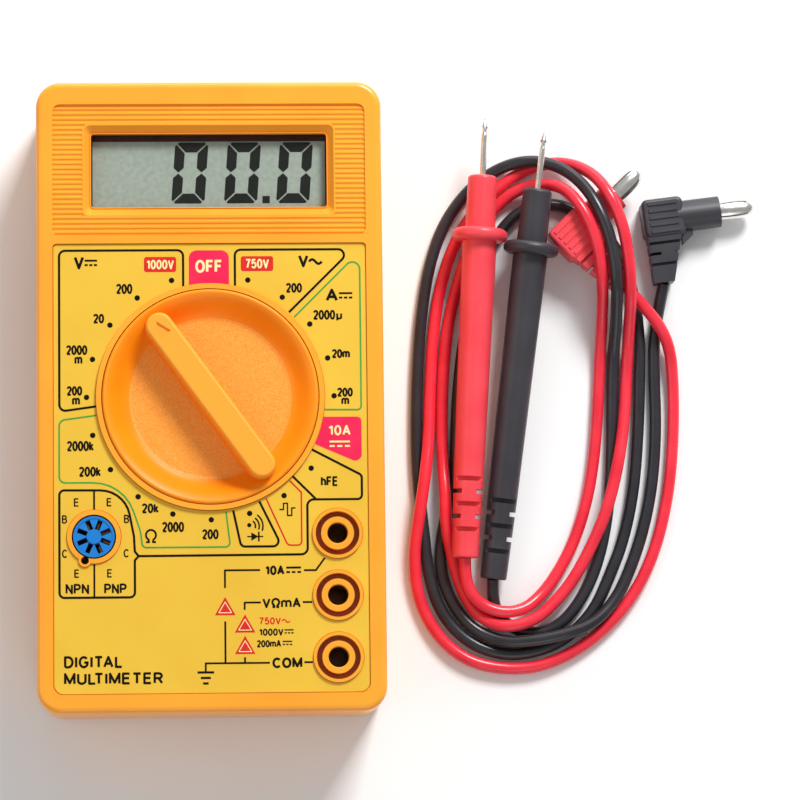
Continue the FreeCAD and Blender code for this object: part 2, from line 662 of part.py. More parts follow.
def fuse_parts():
    left, right = FUSE_XS
    save("fuse_glass", along_x(2.4, left + 5, right - 5))
    caps = [along_x(2.6, left, left + 5), along_x(2.6, right - 5, right)]
    save("fuse_caps", Part.makeCompound(caps))
    clips = []
    for x0 in (left + 0.8, right - 4.2):
        clip = along_x(3.02, x0, x0 + 3.4).cut(along_x(2.62, x0 - 1, x0 + 5))
        clip = clip.cut(box(x0 - 1, FUSE_Y - 4, FUSE_Z - 4, x0 + 5, FUSE_Y + 4, FUSE_Z - 1.6))
        foot = box(x0, FUSE_Y - 1.4, FUSE_Z + 2.68, x0 + 3.4, FUSE_Y + 1.4, BOARD_LOW_Z)
        clips.append(clip.fuse(foot))
    save("fuse_clips", Part.makeCompound(clips))


# ---- battery ----------------------------------------------------------------
SNAP_X = 13.4


def battery_parts():
    low = BATTERY_LOW
    high = low + BATTERY_SIZE
    can = box(low.x, low.y, low.z, high.x, high.y, high.z)
    can = can.makeFillet(1.6, [e for e in can.Edges if abs(e.BoundBox.XLength - BATTERY_SIZE.x) < 1e-4])
    save("battery_9v", can)
    middle = (low + high) * 0.5
    terminals = []
    for y_shift, radius in ((-6.35, 2.9), (6.35, 3.6)):
        centre = Vector(high.x, middle.y + y_shift, middle.z)
        terminals.append(Part.makeCylinder(radius, 2.4, centre, Vector(1, 0, 0)))
    save("battery_terminals", Part.makeCompound(terminals))
    plate = box(SNAP_X, middle.y - 12.4, middle.z - 5.8, SNAP_X + 3.4, middle.y + 12.4, middle.z + 5.8)
    plate = plate.makeFillet(1.5, [e for e in plate.Edges if abs(e.BoundBox.XLength - 3.4) < 1e-4])
    for y_shift, radius in ((-6.35, 2.95), (6.35, 3.65)):
        centre = Vector(SNAP_X - 1, middle.y + y_shift, middle.z)
        plate = plate.cut(Part.makeCylinder(radius, 3.4, centre, Vector(1, 0, 0)))
    save("battery_snap", plate)
    top = middle.z + 5.8
    for name, x in (("battery_wire_red", 14.5), ("battery_wire_black", 16.0)):
        route = [
            (x, middle.y + 9.0, top),
            (x, middle.y + 9.0, top + 2.2),
            (x, -31.4, top + 2.2),
            (x, -31.4, BOARD_TOP_Z),
        ]
        save(name, tube(route, 1.1)[0])


def buzzer_parts():
    x, y = -8.0, 8.0
    save("piezo_disc", rod(x, y, FLOOR_Z, FLOOR_Z + 0.25, 10.0))
    save("piezo_ceramic", rod(x, y, FLOOR_Z + 0.25, FLOOR_Z + 0.45, 7.0))
    wires = []
    for start_x, start_z, end_y in ((x, FLOOR_Z + 0.45, 12.0), (x + 8.4, FLOOR_Z + 0.25, 9.0)):
        route = [
            (start_x, y, start_z),
            (start_x, y, start_z + 3.0),
            (9.0, end_y, start_z + 3.6),
            (9.0, end_y, BOARD_LOW_Z),
        ]
        wires.append(tube(route, 0.9)[0])
    save("buzzer_wires", Part.makeCompound(wires))


# ---- screws -----------------------------------------------------------------
def screw(x, y, seat_z, head_r, head_h, shank_r, length):
    """A pan-head screw that points up. Its cross slot faces down."""
    head = rod(x, y, seat_z - head_h, seat_z, head_r)
    head = head.makeFillet(head_h * 0.45, edges_at(head, seat_z - head_h))
    body = head.fuse(rod(x, y, seat_z, seat_z + length, shank_r))
    body = body.fuse(
        Part.makeCone(shank_r, 0.2, 1.2, Vector(x, y, seat_z + length), UP)
    )
    reach = head_r * 0.62
    width = head_r * 0.15
    low = seat_z - head_h - 1
    depth = seat_z - head_h * 0.4
    cross = [
        box(x - reach, y - width, low, x + reach, y + width, depth),
        box(x - width, y - reach, low, x + width, y + reach, depth),
    ]
    return body.cut(cross)


def screws():
    case = [screw(x, y, CASE_SCREW_SEAT_Z, 2.4, 2.0, 1.2, 12.0) for x, y in CASE_SCREWS]
    save("case_screws", Part.makeCompound(case))
    board = [screw(x, y, BOARD_LOW_Z, 1.9, 1.3, 1.0, 4.2) for x, y in BOARD_SCREWS]
    save("board_screws", Part.makeCompound(board))


# ---- test leads -------------------------------------------------------------
CORD_D = 2.5
LOW = CORD_D / 2 + 0.05
PROBE_EXPOSED = 12.3
PROBE_SEAT = 21.0
PROBE_RELIEF = 16.9
FLANGE_START = 23.4
FLANGE_WIDTH = 2.6
PLUG_BLOCK = (4.3, 4.0, 3.15)
PLUG_SLEEVE_END = 12.0
PLUG_BOOT = ((3.7, 2.8), (2.1, 2.1))
PLUG_PIN_START = -1.5
PLUG_PIN_END = 19.4
PLUG_PIN_R = 2.0
PROBES = {
    "red": ((57.3, 59.3, 9.2), (52.0, -32.0, 6.2)),
    "black": ((69.5, 56.2, 10.3), (57.9, -36.2, 3.2)),
}
PLUGS = {
    "red": ((75.6, 34.9, 5.95), 44.0, 15.2, 0.0),
    "black": ((94.4, 38.75, 3.3), 7.0, 13.5, -1.6),
}
CORDS = {}
CORDS["red"] = [
    (52, -32, 6.2), (51.9, -36.8, 5.4), (54.4, -41, 4.5), (58.9, -43.2, 4.3), (63.9, -42.8, 3.8),
    (67.9, -39.6, 2), (71.4, -35, LOW), (75, -28.4, LOW), (77.8, -20, LOW), (79.5, -10.6, LOW),
    (80.4, 0, LOW), (80.9, 9, LOW), (81.3, 17, 4.2), (81.2, 25, 9.2), (80.1, 32.6, 11),
    (77.4, 39.4, 11.3), (73.6, 44.6, 8.8), (69, 46.2, 4.2), (63.4, 44.9, 2.4), (58.6, 40.6, LOW),
    (54.8, 34.4, LOW), (51.8, 26.6, LOW), (49.4, 17.4, LOW), (48.2, 6.4, LOW), (47.8, -4.4, LOW),
    (47.9, -12.6, 2.4), (48.2, -18.6, 4.2), (48.3, -25, 4.3), (49.5, -31.4, 2.6), (51.4, -38.2, LOW),
    (54.6, -43.8, 2.4), (60, -46.4, 4.1), (66.2, -45, 4.1), (71, -40.8, 3.2), (75, -35.8, 2.4),
    (78.4, -29.6, 3.2), (81.6, -22.4, 4.2), (84.1, -13, 4.2), (85.8, -3, 2.4), (86.4, 6, LOW),
    (86.8, 14.4, 4.2), (87, 22.4, 9.6), (86.4, 30.4, 10.8), (85, 37.6, 11), (82.3, 43.6, 10.9),
    (79.2, 48.2, 6.8), (74.2, 50.9, 2.9), (68.4, 50.6, LOW), (62, 47.4, LOW), (55.8, 41.6, LOW),
    (51, 34.4, LOW), (47.8, 25, LOW), (46.2, 14.4, LOW), (45.5, 4, LOW), (45.1, -6.6, 2.4),
    (44.2, -14.6, 4.1), (42.9, -22.6, 4.1), (41.6, -31, 2.4), (42.4, -40, LOW), (46.2, -47.7, LOW),
    (52.4, -53, LOW), (60.6, -54.8, LOW), (69, -54, LOW), (78.4, -49, LOW), (86.6, -40.8, LOW),
    (91.8, -30.6, LOW), (94.8, -18.6, LOW), (96, -6.6, LOW), (96.2, 4.6, LOW), (95.4, 12.4, 3.1),
    (91.8, 18.4, 5.2), (86.2, 23.97, 5.95),
]
CORDS["black"] = [
    (57.9, -36.2, 3.2), (57.7, -41, 1.8), (60.1, -45.1, LOW), (64.4, -47.3, LOW), (69.3, -47, LOW),
    (73.4, -44.2, LOW), (77, -39.2, LOW), (79.8, -32.8, LOW), (81.6, -25.4, LOW), (82.7, -16.8, LOW),
    (83.2, -7.6, LOW), (83.4, 1.6, LOW), (83.7, 10, 2.1), (84.1, 18, 7.4), (83.9, 26, 11.5),
    (82.8, 33.4, 11.3), (80.4, 40.2, 11.1), (77, 46, 8.2), (72.4, 49.9, 5), (66.8, 51.2, 4),
    (60.6, 50, 2), (54.2, 45.6, LOW), (48.8, 38.4, LOW), (45.6, 29.4, LOW), (43.8, 18.6, LOW),
    (42.9, 7.6, LOW), (42.5, -3.6, LOW), (42.6, -14.6, LOW), (43.8, -25.6, LOW), (44.6, -34.8, LOW),
    (47, -43, LOW), (52.6, -49.2, LOW), (60.2, -51.9, LOW), (67.6, -51, LOW), (73.8, -48, LOW),
    (79, -42.6, LOW), (82.2, -35.6, LOW), (85.2, -28.2, LOW), (87.4, -18.6, LOW), (88.5, -8, LOW),
    (89.1, 3, LOW), (89.4, 13, LOW), (88.6, 22, LOW), (86.4, 30, LOW), (82.6, 36.4, LOW),
    (77.2, 40.8, LOW), (71.2, 42.6, LOW), (65.2, 41.2, LOW), (60.6, 36.8, LOW), (57, 30, LOW),
    (54.2, 21.2, LOW), (52.2, 11, LOW), (51.1, 0.4, LOW), (50.7, -9, LOW), (50.3, -17, LOW),
    (47.9, -24.8, LOW), (46.9, -32.8, LOW), (48.9, -40.2, LOW), (53.3, -46.3, 1.7), (59.8, -49.3, 3.2),
    (66.6, -49, 3.9), (72.6, -47.8, 4.2), (78.6, -45.6, 3.8), (83.6, -40.3, 2.3), (87, -33, LOW),
    (89.7, -25, LOW), (91.6, -15.4, LOW), (92.4, -4.4, LOW), (92.2, 6, LOW), (92.4, 14, LOW),
    (93.5, 20.4, 1.6), (94.45, 25.15, 3.3),
]


def turned(corners, curve=()):
    """Turns an outline of (distance, radius) points about the x axis. A smooth curve may close it."""
    spots = [Vector(d, 0, r) for d, r in corners]
    edges = [Part.makeLine(near, far) for near, far in zip(spots, spots[1:])]
    if curve:
        bend = Part.BSplineCurve()
        bend.interpolate([spots[-1]] + [Vector(d, 0, r) for d, r in curve])
        edges.append(bend.toShape())
        spots.append(Vector(curve[-1][0], 0, curve[-1][1]))
    edges.append(Part.makeLine(spots[-1], spots[0]))
    return Part.Face(Part.Wire(edges)).revolve(Vector(0, 0, 0), Vector(1, 0, 0), 360)


def round_bar(x0, x1, r0, r1, near_fillet=0.0, far_fillet=0.0):
    """A bar or cone along x, with its end edges rounded."""
    if r0 == r1:
        bar = Part.makeCylinder(r0, x1 - x0, Vector(x0, 0, 0), Vector(1, 0, 0))
    else:
        bar = Part.makeCone(r0, r1, x1 - x0, Vector(x0, 0, 0), Vector(1, 0, 0))
    for x, fillet in ((x0, near_fillet), (x1, far_fillet)):
        if fillet:
            rims = [e for e in bar.Edges if e.BoundBox.XLength < 1e-4 and abs(e.BoundBox.XMin - x) < 1e-4]
            bar = bar.makeFillet(fillet, rims)
    return bar


def relief_slots(first, pitch, count, width, core, reach):
    """Pairs of slots along x that cut in from above and below, then from the sides, and so on."""
    slots = []
    for i in range(count):
        low = first + i * pitch
        for side in (-1, 1):
            near = side * core
            far = side * reach
            a, b = min(near, far), max(near, far)
            if i % 2 == 0:
                slots.append(box(low, -reach, a, low + width, reach, b))
            else:
                slots.append(box(low, a, -reach, low + width, b, reach))
    return slots


def probe(colour, cord):
    """A test probe, built along x from the needle's point and then laid in place."""
    tip, tail = [Vector(*end) for end in PROBES[colour]]
    length = (tail - tip).Length
    relief = length - PROBE_RELIEF
    needle = turned([
        (0, 0), (1.9, 0.68), (2.2, 0.73), (2.5, 0.5), (3.2, 0.5),
        (3.8, 0.65), (PROBE_SEAT, 0.65), (PROBE_SEAT, 0),
    ])
    flange_end = FLANGE_START + FLANGE_WIDTH
    handle = round_bar(PROBE_EXPOSED, FLANGE_START + 1, 2.98, 3.15, near_fillet=0.7)
    handle = handle.fuse([
        round_bar(FLANGE_START, flange_end, 5.7, 5.7, FLANGE_WIDTH * 0.45, FLANGE_WIDTH * 0.45),
        round_bar(flange_end - 1, relief, 3.6, 3.1),
        round_bar(relief, length, 3.1, 2.75, far_fillet=0.4),
    ])
    handle = handle.cut(Part.makeCylinder(0.68, PROBE_SEAT + 0.1, Vector(0, 0, 0), Vector(1, 0, 0)))
    handle = handle.cut(relief_slots(relief + 0.2, 2.6, 5, 0.95, 1.5, 4.0))
    laid = FreeCAD.Placement(tip, FreeCAD.Rotation(Vector(1, 0, 0), tail - tip))
    needle.Placement = laid
    handle.Placement = laid
    save(colour + "_probe_tip", needle)
    save(colour + "_probe_handle", handle.cut(cord))


def plug(colour, cord):
    """A right-angled plug: pin along x, cord leaving along -y, then turned and laid in place."""
    centre, turn, reach, lean = PLUGS[colour]
    a, b, c = PLUG_BLOCK
    block = rounded_block(-a, -b, a, b, -c, c, 1.2)
    block = block.makeFillet(0.8, edges_at(block, c) + edges_at(block, -c))
    for i in range(5):
        y = (i - 2) * 1.45
        block = block.fuse(box(-a + 1.3, y - 0.35, 0, a - 1.3, y + 0.35, c + 0.25))
    sleeve = Part.makeCylinder(3.25, PLUG_SLEEVE_END - 3, Vector(3, 0, 0), Vector(1, 0, 0))
    fin = prism(
        [Vector(3.4, -2.8, -1), Vector(6, -2.8, -1), Vector(5.8, -4.2, -1), Vector(3.4, -6, -1)],
        Vector(0, 0, 2),
    )
    body = block.fuse([sleeve, fin])
    hollow = Part.makeCylinder(2.75, 20, Vector(a + 0.6, 0, 0), Vector(1, 0, 0))
    bore = Part.makeCylinder(1.53, 20, Vector(PLUG_PIN_START, 0, 0), Vector(1, 0, 0))
    body = body.cut([hollow, bore])

    ends = ((b - 1.5, 0, *PLUG_BOOT[0]), (reach, lean, *PLUG_BOOT[1]))
    taper = Part.makeLoft([
        Part.makePolygon([
            Vector(x - wide, -y, -high), Vector(x + wide, -y, -high), Vector(x + wide, -y, high),
            Vector(x - wide, -y, high), Vector(x - wide, -y, -high),
        ])
        for y, x, wide, high in ends
    ], True)
    slots = relief_slots(b + 1.0, 2.2, int((reach - b - 1.6) / 2.2), 0.6, 1.5, 5.0)
    for slot in slots:
        slot.rotate(Vector(0, 0, 0), UP, -90)
    body = body.fuse(taper.cut(slots))

    r = PLUG_PIN_R
    pin = turned(
        [
            (PLUG_PIN_END, 0), (PLUG_PIN_START, 0), (PLUG_PIN_START, 1.5), (a + 1.5, 1.5), (a + 1.5, 1.9),
            (10.5, 1.9), (10.5, 1.7), (11.4, 1.7),
        ],
        [(12.9, 1.93), (14.8, r), (16.7, 1.93), (18.1, 1.6), (19.0, 1.0), (PLUG_PIN_END, 0.25)],
    )
    slit = box(11.9, 1.0, -0.2, 17.8, 3, 0.2)
    for i in range(4):
        cut = slit.copy()
        cut.rotate(Vector(0, 0, 0), Vector(1, 0, 0), 45 + 90 * i)
        pin = pin.cut(cut)
    laid = FreeCAD.Placement(Vector(*centre), FreeCAD.Rotation(UP, turn))
    body.Placement = laid
    pin.Placement = laid
    save(colour + "_plug_body", body.cut(cord))
    save(colour + "_plug_pin", pin)


def test_lead(colour):
    cord, length, radius, ratio = tube(CORDS[colour], CORD_D)
    probe(colour, cord)
    plug(colour, cord)
    save(colour + "_lead_cord", cord)
    print(colour, "cord: length %.1f, smallest radius %.1f, volume ratio %.4f" % (length, radius, ratio))


# ---- build ------------------------------------------------------------------
save("front_case", front_case())
save("rear_case", rear_case())
save("panel_label", panel_label())
save("selector_knob", selector_knob())
save("wiper_contacts", wiper_contacts())
for side, ball_x in (("a", BALL_TRACK_R), ("b", -BALL_TRACK_R)):
    save("detent_ball_" + side, Part.makeSphere(BALL_R, Vector(ball_x, KNOB_Y, BALL_Z)))
    save("detent_spring_" + side, detent_spring(ball_x))
display_parts()
board_parts()
for jack_name, jack_y in JACK_YS.items():
    save("jack_sleeve_" + jack_name, jack_sleeve(jack_y))
save("transistor_socket", transistor_socket())
save("transistor_contacts", transistor_contacts())
fuse_parts()
battery_parts()
buzzer_parts()
screws()
for lead_colour in ("red", "black"):
    test_lead(lead_colour)
print("pieces written:", PIECE_COUNT[0])
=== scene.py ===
"""The looks of a hand-held digital multimeter and its test leads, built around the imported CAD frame."""
import math

import bpy
from mathutils import Matrix, Vector


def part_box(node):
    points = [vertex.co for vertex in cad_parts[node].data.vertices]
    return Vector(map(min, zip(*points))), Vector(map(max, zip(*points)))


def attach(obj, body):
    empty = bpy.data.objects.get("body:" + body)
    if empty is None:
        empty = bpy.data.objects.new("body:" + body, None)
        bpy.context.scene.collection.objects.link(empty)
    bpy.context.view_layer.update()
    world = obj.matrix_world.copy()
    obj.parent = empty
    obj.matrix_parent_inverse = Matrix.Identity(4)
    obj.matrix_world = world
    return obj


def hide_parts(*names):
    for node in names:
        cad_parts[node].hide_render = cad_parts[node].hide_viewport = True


MM = 0.001

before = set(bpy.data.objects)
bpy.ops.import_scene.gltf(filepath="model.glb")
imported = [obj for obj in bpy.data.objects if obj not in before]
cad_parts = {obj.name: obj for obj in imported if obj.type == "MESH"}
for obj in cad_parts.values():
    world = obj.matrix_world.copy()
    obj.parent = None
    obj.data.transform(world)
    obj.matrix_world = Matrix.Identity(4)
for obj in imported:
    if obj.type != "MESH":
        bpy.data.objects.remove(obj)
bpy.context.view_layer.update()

# ---- camera -------------------------------------------------------------------
CAMERA_AIM = Vector((39.34, 1.47, 0)) * MM
CAMERA_DISTANCE = 851.6 * MM
CAMERA_TILT = math.radians(6.92)
CAMERA_YAW = math.radians(-2.77)
CAMERA_ROLL = math.radians(-0.71)
CAMERA_LENS = 184.6
SENSOR_WIDTH = 36
NEAREST_SEEN = 0.01


def add_camera():
    """Looks down at the face, a little from its lower end."""
    back = Vector((
        math.sin(CAMERA_YAW) * math.cos(CAMERA_TILT),
        -math.sin(CAMERA_TILT),
        math.cos(CAMERA_TILT) * math.cos(CAMERA_YAW),
    )).normalized()
    right = Vector((0, 1, 0)).cross(back).normalized()
    up = back.cross(right)
    rolled_right = right * math.cos(CAMERA_ROLL) + up * math.sin(CAMERA_ROLL)
    rolled_up = up * math.cos(CAMERA_ROLL) - right * math.sin(CAMERA_ROLL)
    data = bpy.data.cameras.new("camera")
    data.lens = CAMERA_LENS
    data.sensor_width = SENSOR_WIDTH
    data.clip_start = NEAREST_SEEN
    camera = bpy.data.objects.new("camera", data)
    bpy.context.collection.objects.link(camera)
    turn = Matrix((rolled_right, rolled_up, back)).transposed().to_4x4()
    camera.matrix_world = Matrix.Translation(CAMERA_AIM + back * CAMERA_DISTANCE) @ turn
    bpy.context.scene.camera = camera
    bpy.context.scene.view_settings.view_transform = "Standard"


add_camera()

# ---- cords --------------------------------------------------------------------
CORD_DIAMETER = 2.5 * MM
BEVEL_STEPS = 8
ROUTE_STEPS = 10
# The height of a cord's middle where it lies on the floor.
LOW = 0.0013
RED_ROUTE = [
    (0.052, -0.032, 0.0062), (0.0519, -0.0368, 0.0054), (0.0544, -0.041, 0.0045),
    (0.0589, -0.0432, 0.0043), (0.0639, -0.0428, 0.0038), (0.0679, -0.0396, 0.002),
    (0.0714, -0.035, LOW), (0.075, -0.0284, LOW), (0.0778, -0.02, LOW), (0.0795, -0.0106, LOW),
    (0.0804, 0, LOW), (0.0809, 0.009, LOW), (0.0813, 0.017, 0.0042), (0.0812, 0.025, 0.0092),
    (0.0801, 0.0326, 0.011), (0.0774, 0.0394, 0.0113), (0.0736, 0.0446, 0.0088),
    (0.069, 0.0462, 0.0042), (0.0634, 0.0449, 0.0024), (0.0586, 0.0406, LOW), (0.0548, 0.0344, LOW),
    (0.0518, 0.0266, LOW), (0.0494, 0.0174, LOW), (0.0482, 0.0064, LOW), (0.0478, -0.0044, LOW),
    (0.0479, -0.0126, 0.0024), (0.0482, -0.0186, 0.0042), (0.0483, -0.025, 0.0043),
    (0.0495, -0.0314, 0.0026), (0.0514, -0.0382, LOW), (0.0546, -0.0438, 0.0024),
    (0.06, -0.0464, 0.0041), (0.0662, -0.045, 0.0041), (0.071, -0.0408, 0.0032),
    (0.075, -0.0358, 0.0024), (0.0784, -0.0296, 0.0032), (0.0816, -0.0224, 0.0042),
    (0.0841, -0.013, 0.0042), (0.0858, -0.003, 0.0024), (0.0864, 0.006, LOW), (0.0868, 0.0144, 0.0042),
    (0.087, 0.0224, 0.0096), (0.0864, 0.0304, 0.0108), (0.085, 0.0376, 0.011), (0.0823, 0.0436, 0.0109),
    (0.0792, 0.0482, 0.0068), (0.0742, 0.0509, 0.0029), (0.0684, 0.0506, LOW), (0.062, 0.0474, LOW),
    (0.0558, 0.0416, LOW), (0.051, 0.0344, LOW), (0.0478, 0.025, LOW), (0.0462, 0.0144, LOW),
    (0.0455, 0.004, LOW), (0.0451, -0.0066, 0.0024), (0.0442, -0.0146, 0.0041),
    (0.0429, -0.0226, 0.0041), (0.0416, -0.031, 0.0024), (0.0424, -0.04, LOW), (0.0462, -0.0477, LOW),
    (0.0524, -0.053, LOW), (0.0606, -0.0548, LOW), (0.069, -0.054, LOW), (0.0784, -0.049, LOW),
    (0.0866, -0.0408, LOW), (0.0918, -0.0306, LOW), (0.0948, -0.0186, LOW), (0.096, -0.0066, LOW),
    (0.0962, 0.0046, LOW), (0.0954, 0.0124, 0.0031), (0.0918, 0.0184, 0.0052),
    (0.0862, 0.02397, 0.00595),
]
BLACK_ROUTE = [
    (0.0579, -0.0362, 0.0032), (0.0577, -0.041, 0.0018), (0.0601, -0.0451, LOW), (0.0644, -0.0473, LOW),
    (0.0693, -0.047, LOW), (0.0734, -0.0442, LOW), (0.077, -0.0392, LOW), (0.0798, -0.0328, LOW),
    (0.0816, -0.0254, LOW), (0.0827, -0.0168, LOW), (0.0832, -0.0076, LOW), (0.0834, 0.0016, LOW),
    (0.0837, 0.01, 0.0021), (0.0841, 0.018, 0.0074), (0.0839, 0.026, 0.0115), (0.0828, 0.0334, 0.0113),
    (0.0804, 0.0402, 0.0111), (0.077, 0.046, 0.0082), (0.0724, 0.0499, 0.005), (0.0668, 0.0512, 0.004),
    (0.0606, 0.05, 0.002), (0.0542, 0.0456, LOW), (0.0488, 0.0384, LOW), (0.0456, 0.0294, LOW),
    (0.0438, 0.0186, LOW), (0.0429, 0.0076, LOW), (0.0425, -0.0036, LOW), (0.0426, -0.0146, LOW),
    (0.0438, -0.0256, LOW), (0.0446, -0.0348, LOW), (0.047, -0.043, LOW), (0.0526, -0.0492, LOW),
    (0.0602, -0.0519, LOW), (0.0676, -0.051, LOW), (0.0738, -0.048, LOW), (0.079, -0.0426, LOW),
    (0.0822, -0.0356, LOW), (0.0852, -0.0282, LOW), (0.0874, -0.0186, LOW), (0.0885, -0.008, LOW),
    (0.0891, 0.003, LOW), (0.0894, 0.013, LOW), (0.0886, 0.022, LOW), (0.0864, 0.03, LOW),
    (0.0826, 0.0364, LOW), (0.0772, 0.0408, LOW), (0.0712, 0.0426, LOW), (0.0652, 0.0412, LOW),
    (0.0606, 0.0368, LOW), (0.057, 0.03, LOW), (0.0542, 0.0212, LOW), (0.0522, 0.011, LOW),
    (0.0511, 0.0004, LOW), (0.0507, -0.009, LOW), (0.0503, -0.017, LOW), (0.0479, -0.0248, LOW),
    (0.0469, -0.0328, LOW), (0.0489, -0.0402, LOW), (0.0533, -0.0463, 0.0017),
    (0.0598, -0.0493, 0.0032), (0.0666, -0.049, 0.0039), (0.0726, -0.0478, 0.0042),
    (0.0786, -0.0456, 0.0038), (0.0836, -0.0403, 0.0023), (0.087, -0.033, LOW), (0.0897, -0.025, LOW),
    (0.0916, -0.0154, LOW), (0.0924, -0.0044, LOW), (0.0922, 0.006, LOW), (0.0924, 0.014, LOW),
    (0.0935, 0.0204, 0.0016), (0.09445, 0.02515, 0.0033),
]


def drawn_route(name, route, bevel):
    """The smooth curve with the route as its control points, as a line or, with a bevel, as a tube."""
    curve = bpy.data.curves.new(name, "CURVE")
    curve.dimensions = "3D"
    curve.bevel_depth = bevel
    curve.bevel_resolution = BEVEL_STEPS
    curve.resolution_u = ROUTE_STEPS
    curve.use_fill_caps = True
    spline = curve.splines.new("NURBS")
    spline.points.add(len(route) - 1)
    for point, place in zip(spline.points, route):
        point.co = (*place, 1)
    spline.order_u = 3
    spline.use_endpoint_u = True
    drawn = bpy.data.objects.new(name, curve)
    bpy.context.collection.objects.link(drawn)
    mesh = bpy.data.meshes.new_from_object(drawn.evaluated_get(bpy.context.evaluated_depsgraph_get()))
    bpy.data.objects.remove(drawn)
    bpy.data.curves.remove(curve)
    mesh.name = name
    return mesh


def add_cord(colour, route):
    """One lead's cord, drawn along its route in place of the CAD cord, which is hidden."""
    line = drawn_route(colour + "_line", route, 0)
    bpy.data.meshes.remove(line)
    cord = bpy.data.objects.new(colour + "_cord", drawn_route(colour + "_cord", route, CORD_DIAMETER / 2))
    bpy.context.collection.objects.link(cord)
    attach(cord, "test_leads")
    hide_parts(colour + "_lead_cord")
    return cord


cords = {"red": add_cord("red", RED_ROUTE), "black": add_cord("black", BLACK_ROUTE)}

# ---- the knob, in mm ----------------------------------------------------------
KNOB_CENTRE = Vector((0, -0.45))
KNOB_FLOOR_Z = 20.7
KNOB_FLOOR_REACH = 0.15
# Above the rim height the knob's colour turns paler over the blend's span: painted light on the bar, with
# painted shade in the deeper orange of the bowl.
KNOB_RIM_Z = 24.3
KNOB_SHADE_BLEND = 1
SPARKLE_SIZE = 0.32
SPARKLE_DEPTH = 0.03
RING_R = 23.0
RING_GAP = 0.1
RING_STEPS = 12
POSITIONS = 20

# ---- materials ----------------------------------------------------------------
# The part of a noise's range that is spread over the whole blend.
NOISE_LOW = 0.3
NOISE_HIGH = 0.7
GRAIN_DETAIL = 3.0
SPARKLE_DETAIL = 4.0


def srgb(code):
    """A hex colour as the linear values that shaders use."""
    values = [int(code[i:i + 2], 16) / 255 for i in (0, 2, 4)]
    return [v / 12.92 if v <= 0.04045 else ((v + 0.055) / 1.055) ** 2.4 for v in values] + [1]


def noise(tree, size_mm, detail=2.0):
    """A noise in the part's own coordinates, whose lumps are about size_mm across."""
    place = tree.nodes.new("ShaderNodeTexCoord")
    texture = tree.nodes.new("ShaderNodeTexNoise")
    texture.inputs["Scale"].default_value = 1 / (size_mm * MM)
    texture.inputs["Detail"].default_value = detail
    tree.links.new(place.outputs["Object"], texture.inputs["Vector"])
    return texture.outputs["Fac"]


def blended(tree, factor, first, second):
    """Goes from the first colour to the second as the factor goes from 0 to 1. Either may be an output."""
    mix = tree.nodes.new("ShaderNodeMix")
    mix.data_type = "RGBA"
    tree.links.new(factor, mix.inputs["Factor"])
    for socket, colour in (("A", first), ("B", second)):
        target = next(s for s in mix.inputs if s.name == socket and s.type == "RGBA")
        if isinstance(colour, list):
            target.default_value = colour
        else:
            tree.links.new(colour, target)
    return next(s for s in mix.outputs if s.type == "RGBA")


def stretched(tree, factor, low, high):
    """Goes from 0 to 1 as the factor goes from low to high."""
    ramp = tree.nodes.new("ShaderNodeMapRange")
    ramp.inputs["From Min"].default_value = low
    ramp.inputs["From Max"].default_value = high
    tree.links.new(factor, ramp.inputs["Value"])
    return ramp.outputs["Result"]


def surface(
    name, light, dark, roughness, metallic=0.0, mottle=7.0, grain=0.35, depth=0.006, alpha=1.0, coat=0.0,
    gloss=0.5,
):
    """A finish whose colour drifts between two shades and that carries a fine grain. Sizes are in mm."""
    made = bpy.data.materials.new(name)
    made.use_nodes = True
    tree = made.node_tree
    shader = tree.nodes["Principled BSDF"]
    drift = stretched(tree, noise(tree, mottle), NOISE_LOW, NOISE_HIGH)
    tree.links.new(blended(tree, drift, srgb(light), srgb(dark)), shader.inputs["Base Color"])
    shader.inputs["Roughness"].default_value = roughness
    shader.inputs["Metallic"].default_value = metallic
    shader.inputs["Alpha"].default_value = alpha
    shader.inputs["Coat Weight"].default_value = coat
    shader.inputs["Specular IOR Level"].default_value = gloss
    bump = tree.nodes.new("ShaderNodeBump")
    bump.inputs["Distance"].default_value = depth * MM
    tree.links.new(noise(tree, grain, GRAIN_DETAIL), bump.inputs["Height"])
    tree.links.new(bump.outputs["Normal"], shader.inputs["Normal"])
    return made


def dress(node, finish):
    """Gives a CAD node a finish."""
    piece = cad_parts[node]
    piece.data.materials.clear()
    piece.data.materials.append(finish)


